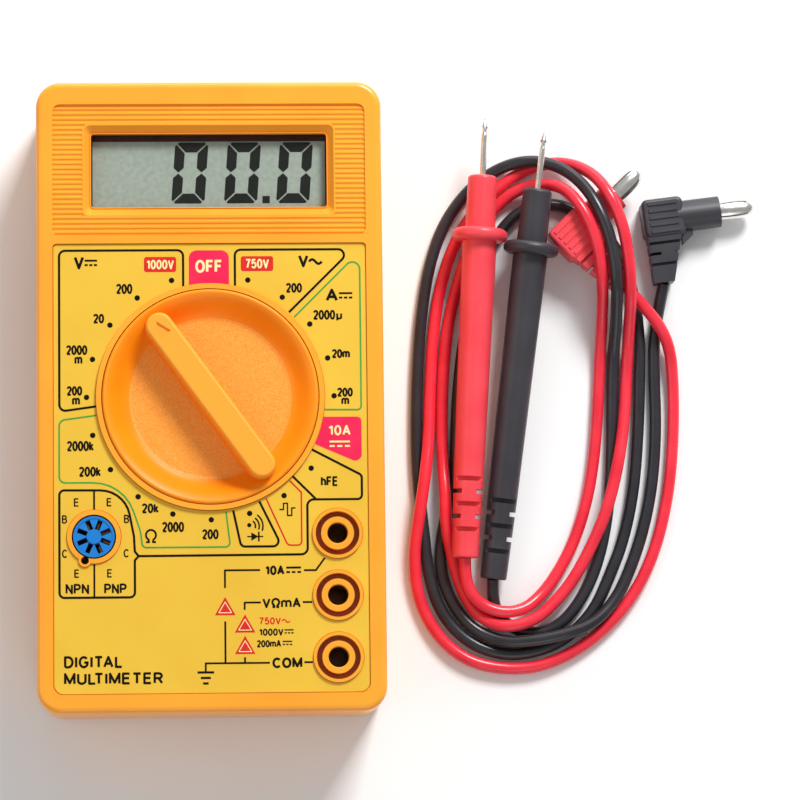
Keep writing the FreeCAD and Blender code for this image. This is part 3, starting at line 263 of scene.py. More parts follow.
def knob_finish():
    """Painted shade and light by height: deep orange low in the bowl, paler on the raised bar, with a coarse
    sparkling grain on the sunk floor only.
    """
    made = surface("knob_plastic", "FF9412", "F88808", 0.4, mottle=14, depth=0.003, gloss=0.25)
    tree = made.node_tree
    shader = tree.nodes["Principled BSDF"]
    place = tree.nodes.new("ShaderNodeTexCoord")
    split = tree.nodes.new("ShaderNodeSeparateXYZ")
    tree.links.new(place.outputs["Object"], split.inputs["Vector"])
    near = tree.nodes.new("ShaderNodeMath")
    near.operation = "COMPARE"
    near.inputs[1].default_value = KNOB_FLOOR_Z * MM
    near.inputs[2].default_value = KNOB_FLOOR_REACH * MM
    tree.links.new(split.outputs["Z"], near.inputs[0])
    grain = stretched(tree, noise(tree, SPARKLE_SIZE, SPARKLE_DETAIL), NOISE_LOW, NOISE_HIGH)
    speckled = blended(tree, grain, srgb("FFAE50"), srgb("F29026"))
    bowl = shader.inputs["Base Color"].links[0].from_socket
    # Painted light and shade: the deeper bowl orange gives way to a paler orange above the rim.
    lit_bar_share = stretched(tree, split.outputs["Z"], KNOB_RIM_Z * MM, (KNOB_RIM_Z + KNOB_SHADE_BLEND) * MM)
    plain = blended(tree, lit_bar_share, bowl, srgb("FFA636"))
    tree.links.new(blended(tree, near.outputs["Value"], plain, speckled), shader.inputs["Base Color"])
    lumps = tree.nodes.new("ShaderNodeMath")
    lumps.operation = "MULTIPLY"
    tree.links.new(near.outputs["Value"], lumps.inputs[0])
    tree.links.new(grain, lumps.inputs[1])
    bump = tree.nodes.new("ShaderNodeBump")
    bump.inputs["Distance"].default_value = SPARKLE_DEPTH * MM
    tree.links.new(lumps.outputs["Value"], bump.inputs["Height"])
    tree.links.new(bump.outputs["Normal"], shader.inputs["Normal"])
    return made


finishes = {
    "case": surface("case_plastic", "FFA82E", "FB9F27", 0.28, mottle=22, grain=0.5, depth=0.003, coat=0.1),
    "label": surface("label_foil", "E9BD3C", "E3B537", 0.42, mottle=16, grain=0.6, depth=0.003, gloss=0.3),
    "knob": knob_finish(),
    "black_ink": surface("black_ink", "0F0D0A", "15120D", 0.45, mottle=3, gloss=0.1),
    "green_ink": surface("green_ink", "3D9440", "47A04A", 0.45, mottle=3, gloss=0.1),
    "red_ink": surface("red_ink", "D8322C", "CF2A26", 0.45, mottle=3, gloss=0.1),
    "crimson_ink": surface("crimson_ink", "EC2E58", "E62650", 0.42, mottle=5, gloss=0.1),
    "cream_ink": surface("cream_ink", "FBE9A8", "F6E09A", 0.45, mottle=3, gloss=0.1),
    "bronze": surface("bronze", "D9A36A", "C88F58", 0.25, metallic=1, mottle=2),
    "steel": surface("steel", "B4B6B8", "9C9EA0", 0.28, metallic=1, mottle=2),
    "window": surface("window", "6A706A", "606660", 0.04, alpha=0.05, mottle=10, depth=0.0005, gloss=0.3),
    "lcd": surface("lcd_panel", "A5B2A7", "97A499", 0.5, mottle=1.1, grain=0.3, depth=0.003, gloss=0.2),
    "segment": surface("lcd_segment", "0B0C0C", "131514", 0.4, mottle=4, gloss=0.1),
    # Painted shade: dark red-brown for the window opening's walls in shade and the shadow they cast on the
    # glass.
    "shade": surface("painted_window_shadow", "43190F", "35120B", 0.6, mottle=4, gloss=0.1),
    "foil": surface("reflector_foil", "BFC2BC", "AEB2AC", 0.5, metallic=1, mottle=3),
    "frame": surface("frame_plastic", "1C1B1A", "141312", 0.5, mottle=5),
    "zebra": surface("zebra_rubber", "8C5A61", "6E4249", 0.6, mottle=1.2),
    "board": surface("solder_mask", "1E6B36", "195C2E", 0.3, mottle=6, grain=1.2, depth=0.02),
    "epoxy": surface("epoxy", "0C0C0D", "141415", 0.15, mottle=3, coat=0.5),
    "resistor": surface("resistor_lacquer", "7FB1CC", "6D9FBC", 0.3, mottle=1.5),
    "film": surface("dipped_film", "2F6B38", "27592F", 0.25, mottle=2),
    "can": surface("capacitor_sleeve", "20264F", "181D40", 0.25, mottle=2),
    "trimmer_blue": surface("trimmer_blue", "2A4C9C", "234185", 0.45, mottle=2),
    "trimmer_white": surface("trimmer_white", "E6E4DC", "D8D5CB", 0.45, mottle=2),
    "alloy": surface("shunt_alloy", "C88A5C", "B57849", 0.3, metallic=1, mottle=2),
    "brass": surface("brass", "DDBB6C", "C9A556", 0.28, metallic=1, mottle=2),
    "socket": surface("socket_plastic", "1480D2", "1077C6", 0.3, mottle=4, depth=0.004),
    "fuse": surface("fuse_glass", "F0F6F6", "E4EEEE", 0.05, alpha=0.25, mottle=4),
    "nickel": surface("nickel_plate", "F4F2EE", "E2E0DB", 0.26, metallic=1, mottle=1.5, depth=0.002),
    "battery": surface("battery_print", "3A4048", "2C3138", 0.35, mottle=9),
    "snap": surface("snap_plastic", "1B1A1A", "121111", 0.55, mottle=2),
    "wire_red": surface("wire_red", "C4221F", "AF1B19", 0.4, mottle=2),
    "wire_black": surface("wire_black", "1B1B1C", "121213", 0.4, mottle=2),
    "ceramic": surface("silvered_ceramic", "DAD8CF", "C9C6BB", 0.35, mottle=3),
    "red_grip": surface("red_grip", "F24A55", "EA3E4A", 0.38, mottle=9, depth=0.005),
    "black_grip": surface("black_grip", "3B3A40", "302F35", 0.42, mottle=9, depth=0.005),
    "red_sheath": surface("red_sheath", "F23446", "E4263A", 0.26, mottle=6, depth=0.003),
    "black_sheath": surface("black_sheath", "2F2E33", "242328", 0.28, mottle=6, depth=0.003),
}

NODE_FINISHES = {
    "case": ["front_case", "rear_case"],
    "label": ["panel_label"],
    "knob": ["selector_knob"],
    "bronze": ["wiper_contacts", "transistor_contacts", "fuse_clips"],
    "steel": [
        "detent_ball_a", "detent_ball_b", "detent_spring_a", "detent_spring_b", "case_screws", "board_screws",
    ],
    "window": ["lcd_window"],
    "lcd": ["lcd_glass"],
    "foil": ["lcd_reflector"],
    "frame": ["lcd_frame"],
    "zebra": ["zebra_strip"],
    "board": ["circuit_board"],
    "epoxy": ["chip_blob"],
    "resistor": ["resistors"],
    "film": ["film_capacitors"],
    "can": ["electrolytic_capacitor"],
    "trimmer_blue": ["trimmer_body"],
    "trimmer_white": ["trimmer_rotor"],
    "alloy": ["shunt_wire"],
    "brass": ["jack_sleeve_10a", "jack_sleeve_vohm", "jack_sleeve_com", "piezo_disc"],
    "socket": ["transistor_socket"],
    "fuse": ["fuse_glass"],
    "nickel": [
        "fuse_caps", "battery_terminals",
        "red_probe_tip", "black_probe_tip", "red_plug_pin", "black_plug_pin",
    ],
    "battery": ["battery_9v"],
    "snap": ["battery_snap"],
    "wire_red": ["battery_wire_red"],
    "wire_black": ["battery_wire_black", "buzzer_wires"],
    "ceramic": ["piezo_ceramic"],
    "red_grip": ["red_probe_handle", "red_plug_body"],
    "black_grip": ["black_probe_handle", "black_plug_body"],
}
for finish, nodes in NODE_FINISHES.items():
    for node in nodes:
        dress(node, finishes[finish])
for colour, cord in cords.items():
    cord.data.materials.append(finishes[colour + "_sheath"])

# ---- flat shapes --------------------------------------------------------------
# Ink stands a hair above the label, whose top is at 23.6, and the letters on a tab a hair above the tab.
INK_LOW = 23.58
INK_HIGH = 23.62
TAB_INK_HIGH = 23.66
TOP_STEPS = 7
TOP_STEP = 0.003
FULL_TURN = 2 * math.pi
SHARP_TURN = math.radians(35)
ARC_STEPS_PER_RADIAN = 6
FEWEST_ARC_STEPS = 4
BOW_STEP = 15
DISC_SIDES = 32
JOINT_SIDES = 16
DASH_DROP = 0.9
# Shares of a capital's height: the gap between letters, and how much closer some pairs stand.
LETTER_GAP = 0.28
TIGHT_PAIRS = {"LT": 0.28, "TA": 0.12}


def bow(x, y, half_wide, half_high, start, end):
    """Points along part of an ellipse. The angles are in degrees, anticlockwise from +X."""
    count = max(FEWEST_ARC_STEPS, round(abs(end - start) / BOW_STEP))
    turns = [math.radians(start + (end - start) * i / count) for i in range(count + 1)]
    return [(x + half_wide * math.cos(t), y + half_high * math.sin(t)) for t in turns]


# Each letter is its width and its strokes, with capitals 1 high.
GLYPHS = {
    "0": (0.5, [bow(0.25, 0.5, 0.25, 0.5, 0, 360)]),
    "1": (0.3, [[(0.26, 1), (0.26, 0)], [(0.26, 0.98), (0.02, 0.76)]]),
    "2": (0.5, [bow(0.25, 0.73, 0.24, 0.27, 165, -38) + [(0.02, 0)], [(0, 0), (0.5, 0)]]),
    "5": (0.5, [[(0.46, 1), (0.1, 1), (0.04, 0.52)] + bow(0.24, 0.33, 0.26, 0.33, 130, -150)]),
    "7": (0.5, [[(0, 1), (0.49, 1), (0.3, 0.56), (0.18, 0)]]),
    "A": (0.62, [[(0, 0), (0.31, 1), (0.62, 0)], [(0.1, 0.33), (0.52, 0.33)]]),
    "B": (0.52, [
        [(0, 0), (0, 1), (0.28, 1)] + bow(0.28, 0.77, 0.2, 0.23, 80, -80) + [(0.28, 0.54), (0, 0.54)],
        [(0.28, 0.54)] + bow(0.28, 0.27, 0.24, 0.27, 80, -80) + [(0.28, 0), (0, 0)],
    ]),
    "C": (0.58, [bow(0.31, 0.5, 0.31, 0.5, 42, 318)]),
    "D": (0.56, [[(0, 0), (0, 1), (0.24, 1)] + bow(0.24, 0.5, 0.32, 0.5, 80, -80) + [(0.24, 0), (0, 0)]]),
    "E": (0.48, [[(0.48, 1), (0, 1), (0, 0), (0.48, 0)], [(0, 0.53), (0.44, 0.53)]]),
    "F": (0.46, [[(0.46, 1), (0, 1), (0, 0)], [(0, 0.52), (0.4, 0.52)]]),
    "G": (0.62, [bow(0.31, 0.5, 0.31, 0.5, 42, 325) + [(0.6, 0.46), (0.34, 0.46)]]),
    "I": (0.0, [[(0, 0), (0, 1)]]),
    "L": (0.44, [[(0, 1), (0, 0), (0.44, 0)]]),
    "M": (0.68, [[(0, 0), (0, 1), (0.34, 0.08), (0.68, 1), (0.68, 0)]]),
    "N": (0.54, [[(0, 0), (0, 1), (0.54, 0), (0.54, 1)]]),
    "O": (0.62, [bow(0.31, 0.5, 0.31, 0.5, 0, 360)]),
    "P": (0.52, [
        [(0, 0), (0, 1), (0.29, 1)] + bow(0.29, 0.74, 0.23, 0.26, 80, -80) + [(0.29, 0.48), (0, 0.48)],
    ]),
    "R": (0.54, [
        [(0, 0), (0, 1), (0.29, 1)] + bow(0.29, 0.75, 0.23, 0.25, 80, -80) + [(0.29, 0.5), (0, 0.5)],
        [(0.29, 0.5), (0.54, 0)],
    ]),
    "T": (0.54, [[(0, 1), (0.54, 1)], [(0.27, 1), (0.27, 0)]]),
    "U": (0.54, [[(0, 1)] + bow(0.27, 0.3, 0.27, 0.3, 180, 360) + [(0.54, 1)]]),
    "V": (0.6, [[(0, 1), (0.3, 0), (0.6, 1)]]),
    "Ω": (0.66, [[(0, 0), (0.2, 0)] + bow(0.33, 0.58, 0.33, 0.42, 240, -60) + [(0.46, 0), (0.66, 0)]]),
    "h": (0.42, [[(0, 0), (0, 1)], bow(0.21, 0.46, 0.21, 0.26, 180, 0) + [(0.42, 0)]]),
    "k": (0.42, [[(0, 0), (0, 1)], [(0.39, 0.72), (0, 0.3)], [(0.14, 0.44), (0.42, 0)]]),
    "m": (0.84, [
        [(0, 0), (0, 0.74)], bow(0.21, 0.5, 0.21, 0.24, 180, 0) + [(0.42, 0)],
        bow(0.63, 0.5, 0.21, 0.24, 180, 0) + [(0.84, 0)],
    ]),
    "µ": (0.42, [[(0, 0.74), (0, -0.28)], bow(0.21, 0.24, 0.21, 0.24, 180, 360), [(0.42, 0.74), (0.42, 0)]]),
}


def runs_clockwise(outline):
    """Whether an outline, seen from above, goes round clockwise."""
    return sum(a[0] * b[1] - b[0] * a[1] for a, b in zip(outline, outline[1:] + outline[:1])) < 0


class Flat:
    """Collects thin closed solids, drawn in mm, and makes one object of them."""

    def __init__(self, low, high):
        self.low = low
        self.high = high
        self.spots = []
        self.faces = []
        self.plates = 0

    def plate(self, outline):
        """A filled outline. A few heights take turns, so that its top and the next ones' never coincide."""
        if runs_clockwise(outline):
            outline = outline[::-1]
        self.plates += 1
        high = self.high + self.plates % TOP_STEPS * TOP_STEP
        first = len(self.spots)
        count = len(outline)
        self.spots += [(x, y, self.low) for x, y in outline]
        self.spots += [(x, y, high) for x, y in outline]
        self.faces.append([first + count + i for i in range(count)])
        self.faces.append([first + i for i in reversed(range(count))])
        for i in range(count):
            j = (i + 1) % count
            self.faces.append([first + i, first + j, first + count + j, first + count + i])

    def disc(self, centre, radius, sides=DISC_SIDES):
        """A filled circle."""
        self.plate(arc(centre, radius, 0, FULL_TURN * (sides - 1) / sides, sides))

    def stroke(self, path, width):
        """An open line of even width, with a round joint wherever it turns sharply."""
        run = [path[0]]
        for before, spot, after in zip(path, path[1:], path[2:]):
            run.append(spot)
            if (Vector(spot) - Vector(before)).angle(Vector(after) - Vector(spot)) > SHARP_TURN:
                self.disc(spot, width / 2, JOINT_SIDES)
                self.smooth_stroke(run, width)
                run = [spot]
        self.smooth_stroke(run + [path[-1]], width)

    def smooth_stroke(self, path, width):
        """A line of even width whose turns are all gentle."""
        left = []
        right = []
        for i, spot in enumerate(path):
            into = Vector(spot) - Vector(path[max(i - 1, 0)])
            out = Vector(path[min(i + 1, len(path) - 1)]) - Vector(spot)
            along = (into.normalized() + out.normalized()).normalized()
            side = Vector((-along.y, along.x))
            straight = out if i == 0 else into
            reach = width / 2 / along.dot(straight.normalized())
            left.append(tuple(Vector(spot) + side * reach))
            right.append(tuple(Vector(spot) - side * reach))
        for i in range(len(path) - 1):
            self.plate([right[i], right[i + 1], left[i + 1], left[i]])

    def letters(self, text, box, weight):
        """Text drawn in lines of even width, so that it just fills a box of (left, top, right, bottom)."""
        strokes = []
        pen = 0
        for character, following in zip(text, text[1:] + " "):
            wide, shape = GLYPHS[character]
            strokes += [[(pen + x, y) for x, y in stroke] for stroke in shape]
            pen += wide + LETTER_GAP - TIGHT_PAIRS.get(character + following, 0)
        xs = [x for stroke in strokes for x, y in stroke]
        ys = [y for stroke in strokes for x, y in stroke]
        left, top, right, bottom = box
        scale_x = (right - left - weight) / (max(xs) - min(xs))
        scale_y = (top - bottom - weight) / (max(ys) - min(ys))
        for stroke in strokes:
            self.stroke([
                (left + weight / 2 + (x - min(xs)) * scale_x, bottom + weight / 2 + (y - min(ys)) * scale_y)
                for x, y in stroke
            ], weight)

    def direct_current(self, left, right, y, weight, drop=DASH_DROP):
        """The sign for direct current: a line over three dashes, each as long as two of the gaps."""
        self.stroke([(left, y), (right, y)], weight)
        dash = (right - left) / 4
        for i in range(3):
            start = left + i * dash * 1.5
            self.stroke([(start, y - drop), (start + dash, y - drop)], weight)

    def make(self, name, finish, body):
        """Turns what was drawn into one object that rides on a body."""
        mesh = bpy.data.meshes.new(name)
        mesh.from_pydata([(x * MM, y * MM, z * MM) for x, y, z in self.spots], [], self.faces)
        mesh.materials.append(finish)
        piece = bpy.data.objects.new(name, mesh)
        bpy.context.collection.objects.link(piece)
        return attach(piece, body)


def arc(centre, radius, start, end, count):
    """Points along an arc. The angles are in radians, anticlockwise from +X."""
    turns = [start + (end - start) * i / (count - 1) for i in range(count)]
    return [(centre[0] + radius * math.cos(t), centre[1] + radius * math.sin(t)) for t in turns]


def rounded(corners, closed=False):
    """Swaps each corner (x, y, radius) of a path for an arc of that radius."""
    path = []
    count = len(corners)
    for i, corner in enumerate(corners):
        spot = Vector(corner[:2])
        radius = corner[2] if len(corner) == 3 else 0
        if not radius or (not closed and i in (0, count - 1)):
            path.append(tuple(spot))
            continue
        back = (Vector(corners[i - 1][:2]) - spot).normalized()
        ahead = (Vector(corners[(i + 1) % count][:2]) - spot).normalized()
        half = back.angle(ahead) / 2
        centre = spot + (back + ahead).normalized() * (radius / math.sin(half))
        reach = radius / math.tan(half)
        first = spot + back * reach - centre
        last = spot + ahead * reach - centre
        sweep = first.angle_signed(last)
        steps = max(FEWEST_ARC_STEPS, int(abs(sweep) * ARC_STEPS_PER_RADIAN))
        start = math.atan2(first.y, first.x)
        path += arc(centre, radius, start, start - sweep, steps)
    return path


def around_knob(radius, degrees):
    """A point round the knob. The angle is anticlockwise from straight up."""
    turn = math.radians(degrees + 90)
    return (KNOB_CENTRE.x + radius * math.cos(turn), KNOB_CENTRE.y + radius * math.sin(turn))


def ring_edge(start, end):
    """The knob ring's outer edge between two angles, in degrees anticlockwise from straight up."""
    return [
        around_knob(RING_R + RING_GAP, start + (end - start) * i / RING_STEPS) for i in range(RING_STEPS + 1)
    ]


def wave_line(left, right, y, height, steps):
    """One full wave, as in the sign for alternating current."""
    return [
        (left + (right - left) * i / steps, y + height * math.sin(FULL_TURN * i / steps))
        for i in range(steps + 1)
    ]


def box_outline(left, top, right, bottom, radius):
    """A rectangle with rounded corners."""
    corners = [(left, bottom, radius), (right, bottom, radius), (right, top, radius), (left, top, radius)]
    return rounded(corners, closed=True)


# ---- print on the label -------------------------------------------------------
# Places on the label are in mm from the meter's middle. First the widths of lines, in mm too.
LINE = 0.46
FINE_LINE = 0.38
EARTH_LINE = 0.45
GREEN_LINE = 0.34
RED_LINE = 0.32
SYMBOL_LINE = 0.32
DIODE_LINE = 0.26
SQUARE_WAVE_LINE = 0.28
ALTERNATING_LINE = 0.5
# Widths of the lines that letters are drawn with.
TEXT = 0.4
VOLTS_TEXT = 0.55
AMPS_TEXT = 0.56
OFF_TEXT = 0.5
NAME_TEXT = 0.48
JACK_10A_TEXT = 0.45
JACK_VOHM_TEXT = 0.42
TAB_10A_TEXT = 0.38
TAB_10A_LINE = 0.36
CREAM_TEXT = 0.34
SMALL_TEXT = 0.28
# The limits beside the jacks: letters, and the lines of the signs after them.
LIMIT_TEXT = 0.3
LIMIT_LINE = 0.26
LIMIT_DROP = 0.6
LIMIT_WAVE_LINE = 0.24
# One dot for each of the knob's positions, apart from the two that have a coloured tab.
DOT_R = 24.9
DOT_SIZE = 0.55
OFF_POSITION = 0
AMPS_POSITION = 14
# The three red triangles: each one's apex, and their size.
SIGN_TOPS = ((2.65, -40.9), (6.6, -44.4), (6.6, -48.7))
SIGN_WIDTH = 4.1
SIGN_HEIGHT = 3.65
SIGN_INSET = 0.48
SIGN_BORDER = 0.16
# How far a triangle's lower corners and its apex move for each millimetre that it is drawn in.
SIGN_FOOT_SHIFT = 1.6
SIGN_APEX_SHIFT = 2.1


def black_outlines(ink):
    """The frames round the groups of ranges."""
    dcv = [(-5.35, 21.9), (-5.35, 29.4, 1.2), (-30.35, 29.4, 1.2), (-30.35, -3.3, 1.2), (-23.0, -2.3)]
    acv = [(5.1, 21.9), (5.1, 29.45, 1.2), (28.9, 29.45, 1.2), (15.95, 16.6)]
    gain = [(20.3, -11.3), (30.3, -16.55, 0.9), (30.3, -21.4, 0.9), (21.1, -21.4), (16.4, -16.7)]
    diode = [(4.4, -23.5), (5.95, -30.8, 1.0), (14.1, -30.8, 1.1), (9.65, -21.7)]
    lower = [(21.1, -21.4), (19.3, -21.4, 1.3), (19.3, -32.45, 1.3), (-14.6, -32.55)]
    sockets = [
        (-14.6, -32.55), (-15.35, -31.6, 0.4), (-15.5, -28.6, 1.0), (-17.3, -19.3, 6.0), (-30.4, -19.2, 1.0),
        (-30.4, -40.8, 1.0), (-15.35, -40.8, 1.0), (-15.35, -33.4, 0.4), (-14.6, -32.55),
    ]
    for path in (dcv, acv, gain, diode, lower, sockets):
        ink.stroke(rounded(path), LINE)
    for top, bottom in ((-19.3, -23.1), (-34.1, -40.8)):
        ink.stroke([(-23.45, top), (-23.45, bottom)], FINE_LINE)


def jack_lines(ink):
    """The lines from the jacks to their names, and the earth sign."""
    paths = [
        [(2.65, -39.1), (2.65, -35.55), (9.7, -35.55)],
        [(18.5, -35.65), (20.9, -35.65), (22.7, -33.2)],
        [(6.55, -43.5), (6.55, -42.05), (9.8, -42.05)],
        [(18.2, -42.05), (20.1, -42.05)],
        [(2.65, -45.8), (2.65, -54.15)],
        [(6.55, -53.0), (6.55, -54.15)],
        [(-1.3, -55.8), (-1.3, -54.15), (11.5, -54.15)],
        [(18.4, -54.1), (20.1, -54.1)],
    ]
    for path in paths:
        ink.stroke(path, FINE_LINE)
    for half, y in ((1.65, -55.95), (1.0, -57.05), (0.55, -58.15)):
        ink.stroke([(-1.3 - half, y), (-1.3 + half, y)], EARTH_LINE)


def range_names(ink):
    """The ranges round the knob and the sign for ohms, each as text and the box it fills."""
    names = [
        ("200", (-18.9, 22.6, -15.6, 20.5)), ("20", (-23.55, 16.5, -21.3, 14.55)),
        ("2000", (-29.0, 10.15, -24.7, 8.15)), ("m", (-27.3, 7.8, -25.7, 6.25)),
        ("200", (-28.9, 1.85, -25.75, -0.1)), ("m", (-27.8, -0.5, -26.2, -2.05)),
        ("2000k", (-28.9, -9.25, -23.45, -11.35)), ("200k", (-26.5, -14.45, -22.05, -16.5)),
        ("20k", (-13.95, -21.95, -10.5, -23.95)), ("2000", (-9.9, -25.7, -5.45, -27.8)),
        ("200", (-1.9, -27.25, 1.45, -29.3)), ("hFE", (22.05, -16.75, 25.55, -18.75)),
        ("200", (15.35, 22.6, 18.65, 20.6)), ("2000", (20.8, 17.05, 25.3, 15.05)),
        ("µ", (25.5, 16.5, 26.7, 14.7)), ("20m", (24.5, 9.05, 28.2, 7.2)),
        ("200", (25.5, 1.2, 28.7, -0.65)), ("m", (26.35, -0.85, 27.95, -2.3)),
        ("Ω", (-13.3, -27.1, -10.9, -29.95)),
    ]
    for text, box in names:
        ink.letters(text, box, TEXT)


def function_signs(ink):
    """The large signs for volts and amps."""
    ink.letters("V", (-27.4, 28.3, -25.3, 25.6), VOLTS_TEXT)
    ink.direct_current(-25.2, -22.7, 27.35, TEXT)
    ink.letters("V", (17.9, 28.4, 20.0, 25.8), VOLTS_TEXT)
    ink.stroke(wave_line(20.1, 22.7, 26.95, height=0.45, steps=16), ALTERNATING_LINE)
    ink.letters("A", (23.4, 21.4, 25.9, 18.75), AMPS_TEXT)
    ink.direct_current(26.1, 28.8, 20.45, TEXT)


def range_dots(ink):
    """One dot for each range. OFF and 10A have a coloured tab instead."""
    step = 360 / POSITIONS
    for i in range(POSITIONS):
        if i not in (OFF_POSITION, AMPS_POSITION):
            ink.disc(around_knob(DOT_R, i * step), DOT_SIZE)


def small_symbols(ink):
    """The buzzer and diode signs, and the square wave."""
    ink.disc((7.6, -26.5), 0.42)
    for radius in (1.25, 2.0, 2.75):
        ink.stroke(arc((7.6, -26.7), radius, -0.35, 0.95, 12), SYMBOL_LINE)
    ink.stroke([(7.2, -28.8), (10.4, -28.8)], DIODE_LINE)
    ink.plate([(8.0, -29.65), (9.4, -28.8), (8.0, -27.95)])
    ink.stroke([(9.5, -29.8), (9.5, -27.8)], SYMBOL_LINE)
    square_wave = [
        (13.7, -23.4), (14.5, -23.4), (14.5, -22.15), (15.3, -22.15),
        (15.3, -24.6), (16.15, -24.6), (16.15, -23.1), (16.9, -23.1),
    ]
    ink.stroke(square_wave, SQUARE_WAVE_LINE)


def jack_names(ink):
    """The jacks' names with their limits, and the words for the kind of instrument."""
    ink.letters("10A", (10.7, -34.65, 14.6, -36.6), JACK_10A_TEXT)
    ink.direct_current(14.95, 17.9, -35.1, TEXT)
    ink.letters("VΩmA", (10.1, -41.15, 17.8, -43.2), JACK_VOHM_TEXT)
    ink.letters("COM", (12.0, -53.1, 18.0, -55.25), NAME_TEXT)
    ink.letters("1000V", (9.4, -47.3, 14.3, -48.75), LIMIT_TEXT)
    ink.direct_current(14.5, 16.3, -47.6, LIMIT_LINE, LIMIT_DROP)
    ink.letters("200mA", (8.9, -49.6, 13.8, -51.05), LIMIT_TEXT)
    ink.direct_current(14.1, 16.0, -49.9, LIMIT_LINE, LIMIT_DROP)
    ink.letters("DIGITAL", (-29.55, -52.45, -17.8, -54.9), NAME_TEXT)
    ink.letters("MULTIMETER", (-29.55, -55.8, -9.8, -58.2), NAME_TEXT)


def socket_letters(ink):
    """The transistor legs round the socket."""
    letters = [
        ("E", -27.5, -20.8), ("E", -20.95, -20.8), ("B", -29.9, -24.2), ("B", -17.5, -24.2),
        ("C", -29.9, -31.1), ("C", -17.6, -31.1), ("E", -27.45, -35.1), ("E", -20.9, -35.1),
    ]
    for letter, left, top in letters:
        ink.letters(letter, (left, top, left + 1.05, top - 1.7), SMALL_TEXT)
    ink.letters("NPN", (-29.2, -38.0, -24.5, -40.1), TEXT)
    ink.letters("PNP", (-21.5, -38.0, -17.0, -40.1), TEXT)


def print_black():
    """Everything in black: outlines, ranges, names and symbols."""
    ink = Flat(INK_LOW, INK_HIGH)
    for draw in (
        black_outlines, jack_lines, range_names, function_signs, range_dots, small_symbols, jack_names,
        socket_letters,
    ):
        draw(ink)
    ink.make("print_black", finishes["black_ink"], "meter")


def print_green():
    """The outlines of the groups for current and for resistance."""
    ink = Flat(INK_LOW, INK_HIGH)
    current = [(17.0, 15.6), (30.35, 28.95, 1.5), (30.35, -3.3, 0.8), (22.95, -3.25)]
    ohms = [
        (-22.9, -4.1), (-30.4, -5.1, 1.3), (-30.4, -17.7, 1.2), (-17.6, -17.75, 8.5), (-14.2, -27.5, 8.0),
        (-13.8, -30.85, 0.9), (3.8, -30.85, 0.9), (2.95, -23.7),
    ]
    for path in (current, ohms):
        ink.stroke(rounded(path), GREEN_LINE)
    ink.make("print_green", finishes["green_ink"], "meter")


def sign_outline(x, top, inset):
    """A triangle under its apex, drawn in by an inset."""
    half = SIGN_WIDTH / 2 - SIGN_FOOT_SHIFT * inset
    foot = top - SIGN_HEIGHT + inset
    return [(x - half, foot), (x + half, foot), (x, top - SIGN_APEX_SHIFT * inset)]


def print_red():
    """The outline round the square wave, the two red boxes, the triangles and a limit in red."""
    ink = Flat(INK_LOW, INK_HIGH)
    wave_zone = [(11.0, -21.1), (15.3, -30.6, 1.0), (18.1, -30.6, 0.8), (18.1, -19.95, 0.2), (15.8, -17.6)]
    ink.stroke(rounded(wave_zone), RED_LINE)
    for box in ((-13.25, 28.05, -6.75, 24.95), (6.3, 28.1, 12.85, 25.05)):
        ink.plate(box_outline(*box, 0.5))
    for apex in SIGN_TOPS:
        ink.plate(sign_outline(*apex, 0))
    ink.letters("750V", (9.4, -45.05, 13.8, -46.5), SMALL_TEXT)
    ink.stroke(wave_line(14.0, 15.6, -45.8, height=0.3, steps=12), LIMIT_WAVE_LINE)
    ink.make("print_red", finishes["red_ink"], "meter")


def print_crimson():
    """The OFF and 10A tabs, whose inner edge follows the ring."""
    ink = Flat(INK_LOW, INK_HIGH)
    top = rounded([(3.9, 22.5), (3.9, 29.35, 1.6), (-4.2, 29.35, 1.6), (-4.2, 22.5)])
    ink.plate(top + ring_edge(10.6, -9.8))
    side = rounded([(22.7, -4.7), (30.35, -4.7, 0.9), (30.35, -14.3, 1.3), (21.2, -10.35)])
    ink.plate(list(reversed(side)) + ring_edge(-99.9, -114.6))
    ink.make("print_crimson", finishes["crimson_ink"], "meter")


def print_cream():
    """The letters that stand on the coloured tabs, and the pale borders inside the triangles."""
    ink = Flat(INK_HIGH, TAB_INK_HIGH)
    ink.letters("OFF", (-2.9, 27.4, 2.6, 24.75), OFF_TEXT)
    ink.letters("1000V", (-12.75, 27.45, -7.2, 25.5), CREAM_TEXT)
    ink.letters("750V", (7.2, 27.55, 12.0, 25.6), CREAM_TEXT)
    ink.letters("10A", (23.7, -6.4, 28.15, -8.5), TAB_10A_TEXT)
    ink.direct_current(23.9, 28.0, -9.75, TAB_10A_LINE)
    for apex in SIGN_TOPS:
        corners = sign_outline(*apex, SIGN_INSET)
        ink.stroke(corners + corners[:1], SIGN_BORDER)
    ink.make("print_cream", finishes["cream_ink"], "meter")


print_black()
print_green()
print_red()
print_crimson()
print_cream()

# ---- digits -------------------------------------------------------------------
# All in mm. The window's opening is left, top, right and bottom, and the painted shade's sizes are what shows
# of it along the top and the other sides, what lies outside the opening, and its faces under the window.
GLASS_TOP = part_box("lcd_glass")[1].z / MM
DIGIT_WIDTH = 6.75
DIGIT_HEIGHT = 12.6
DIGIT_LOW_Y = 39.6
DIGIT_SLANT = 0.072
DIGIT_CORNER = 0.8
SEGMENT_WIDTH = 2.05
SEGMENT_GAP = 0.1
SEGMENT_THICK = 0.02
SHARP_CORNER = 0.05
DIGIT_LEFTS = (-7.7, 3.0, 13.6)
POINT_LEFT = 10.85
POINT_SIZE = 1.5
WINDOW_OPENING = (-23.9, 53.55, 23.9, 38.4)
SHADE_TOP = 1.2
SHADE_SIDE = 0.25
SHADE_OUTSIDE = 1
SHADE_LOW = 0.03
SHADE_HIGH = 0.01


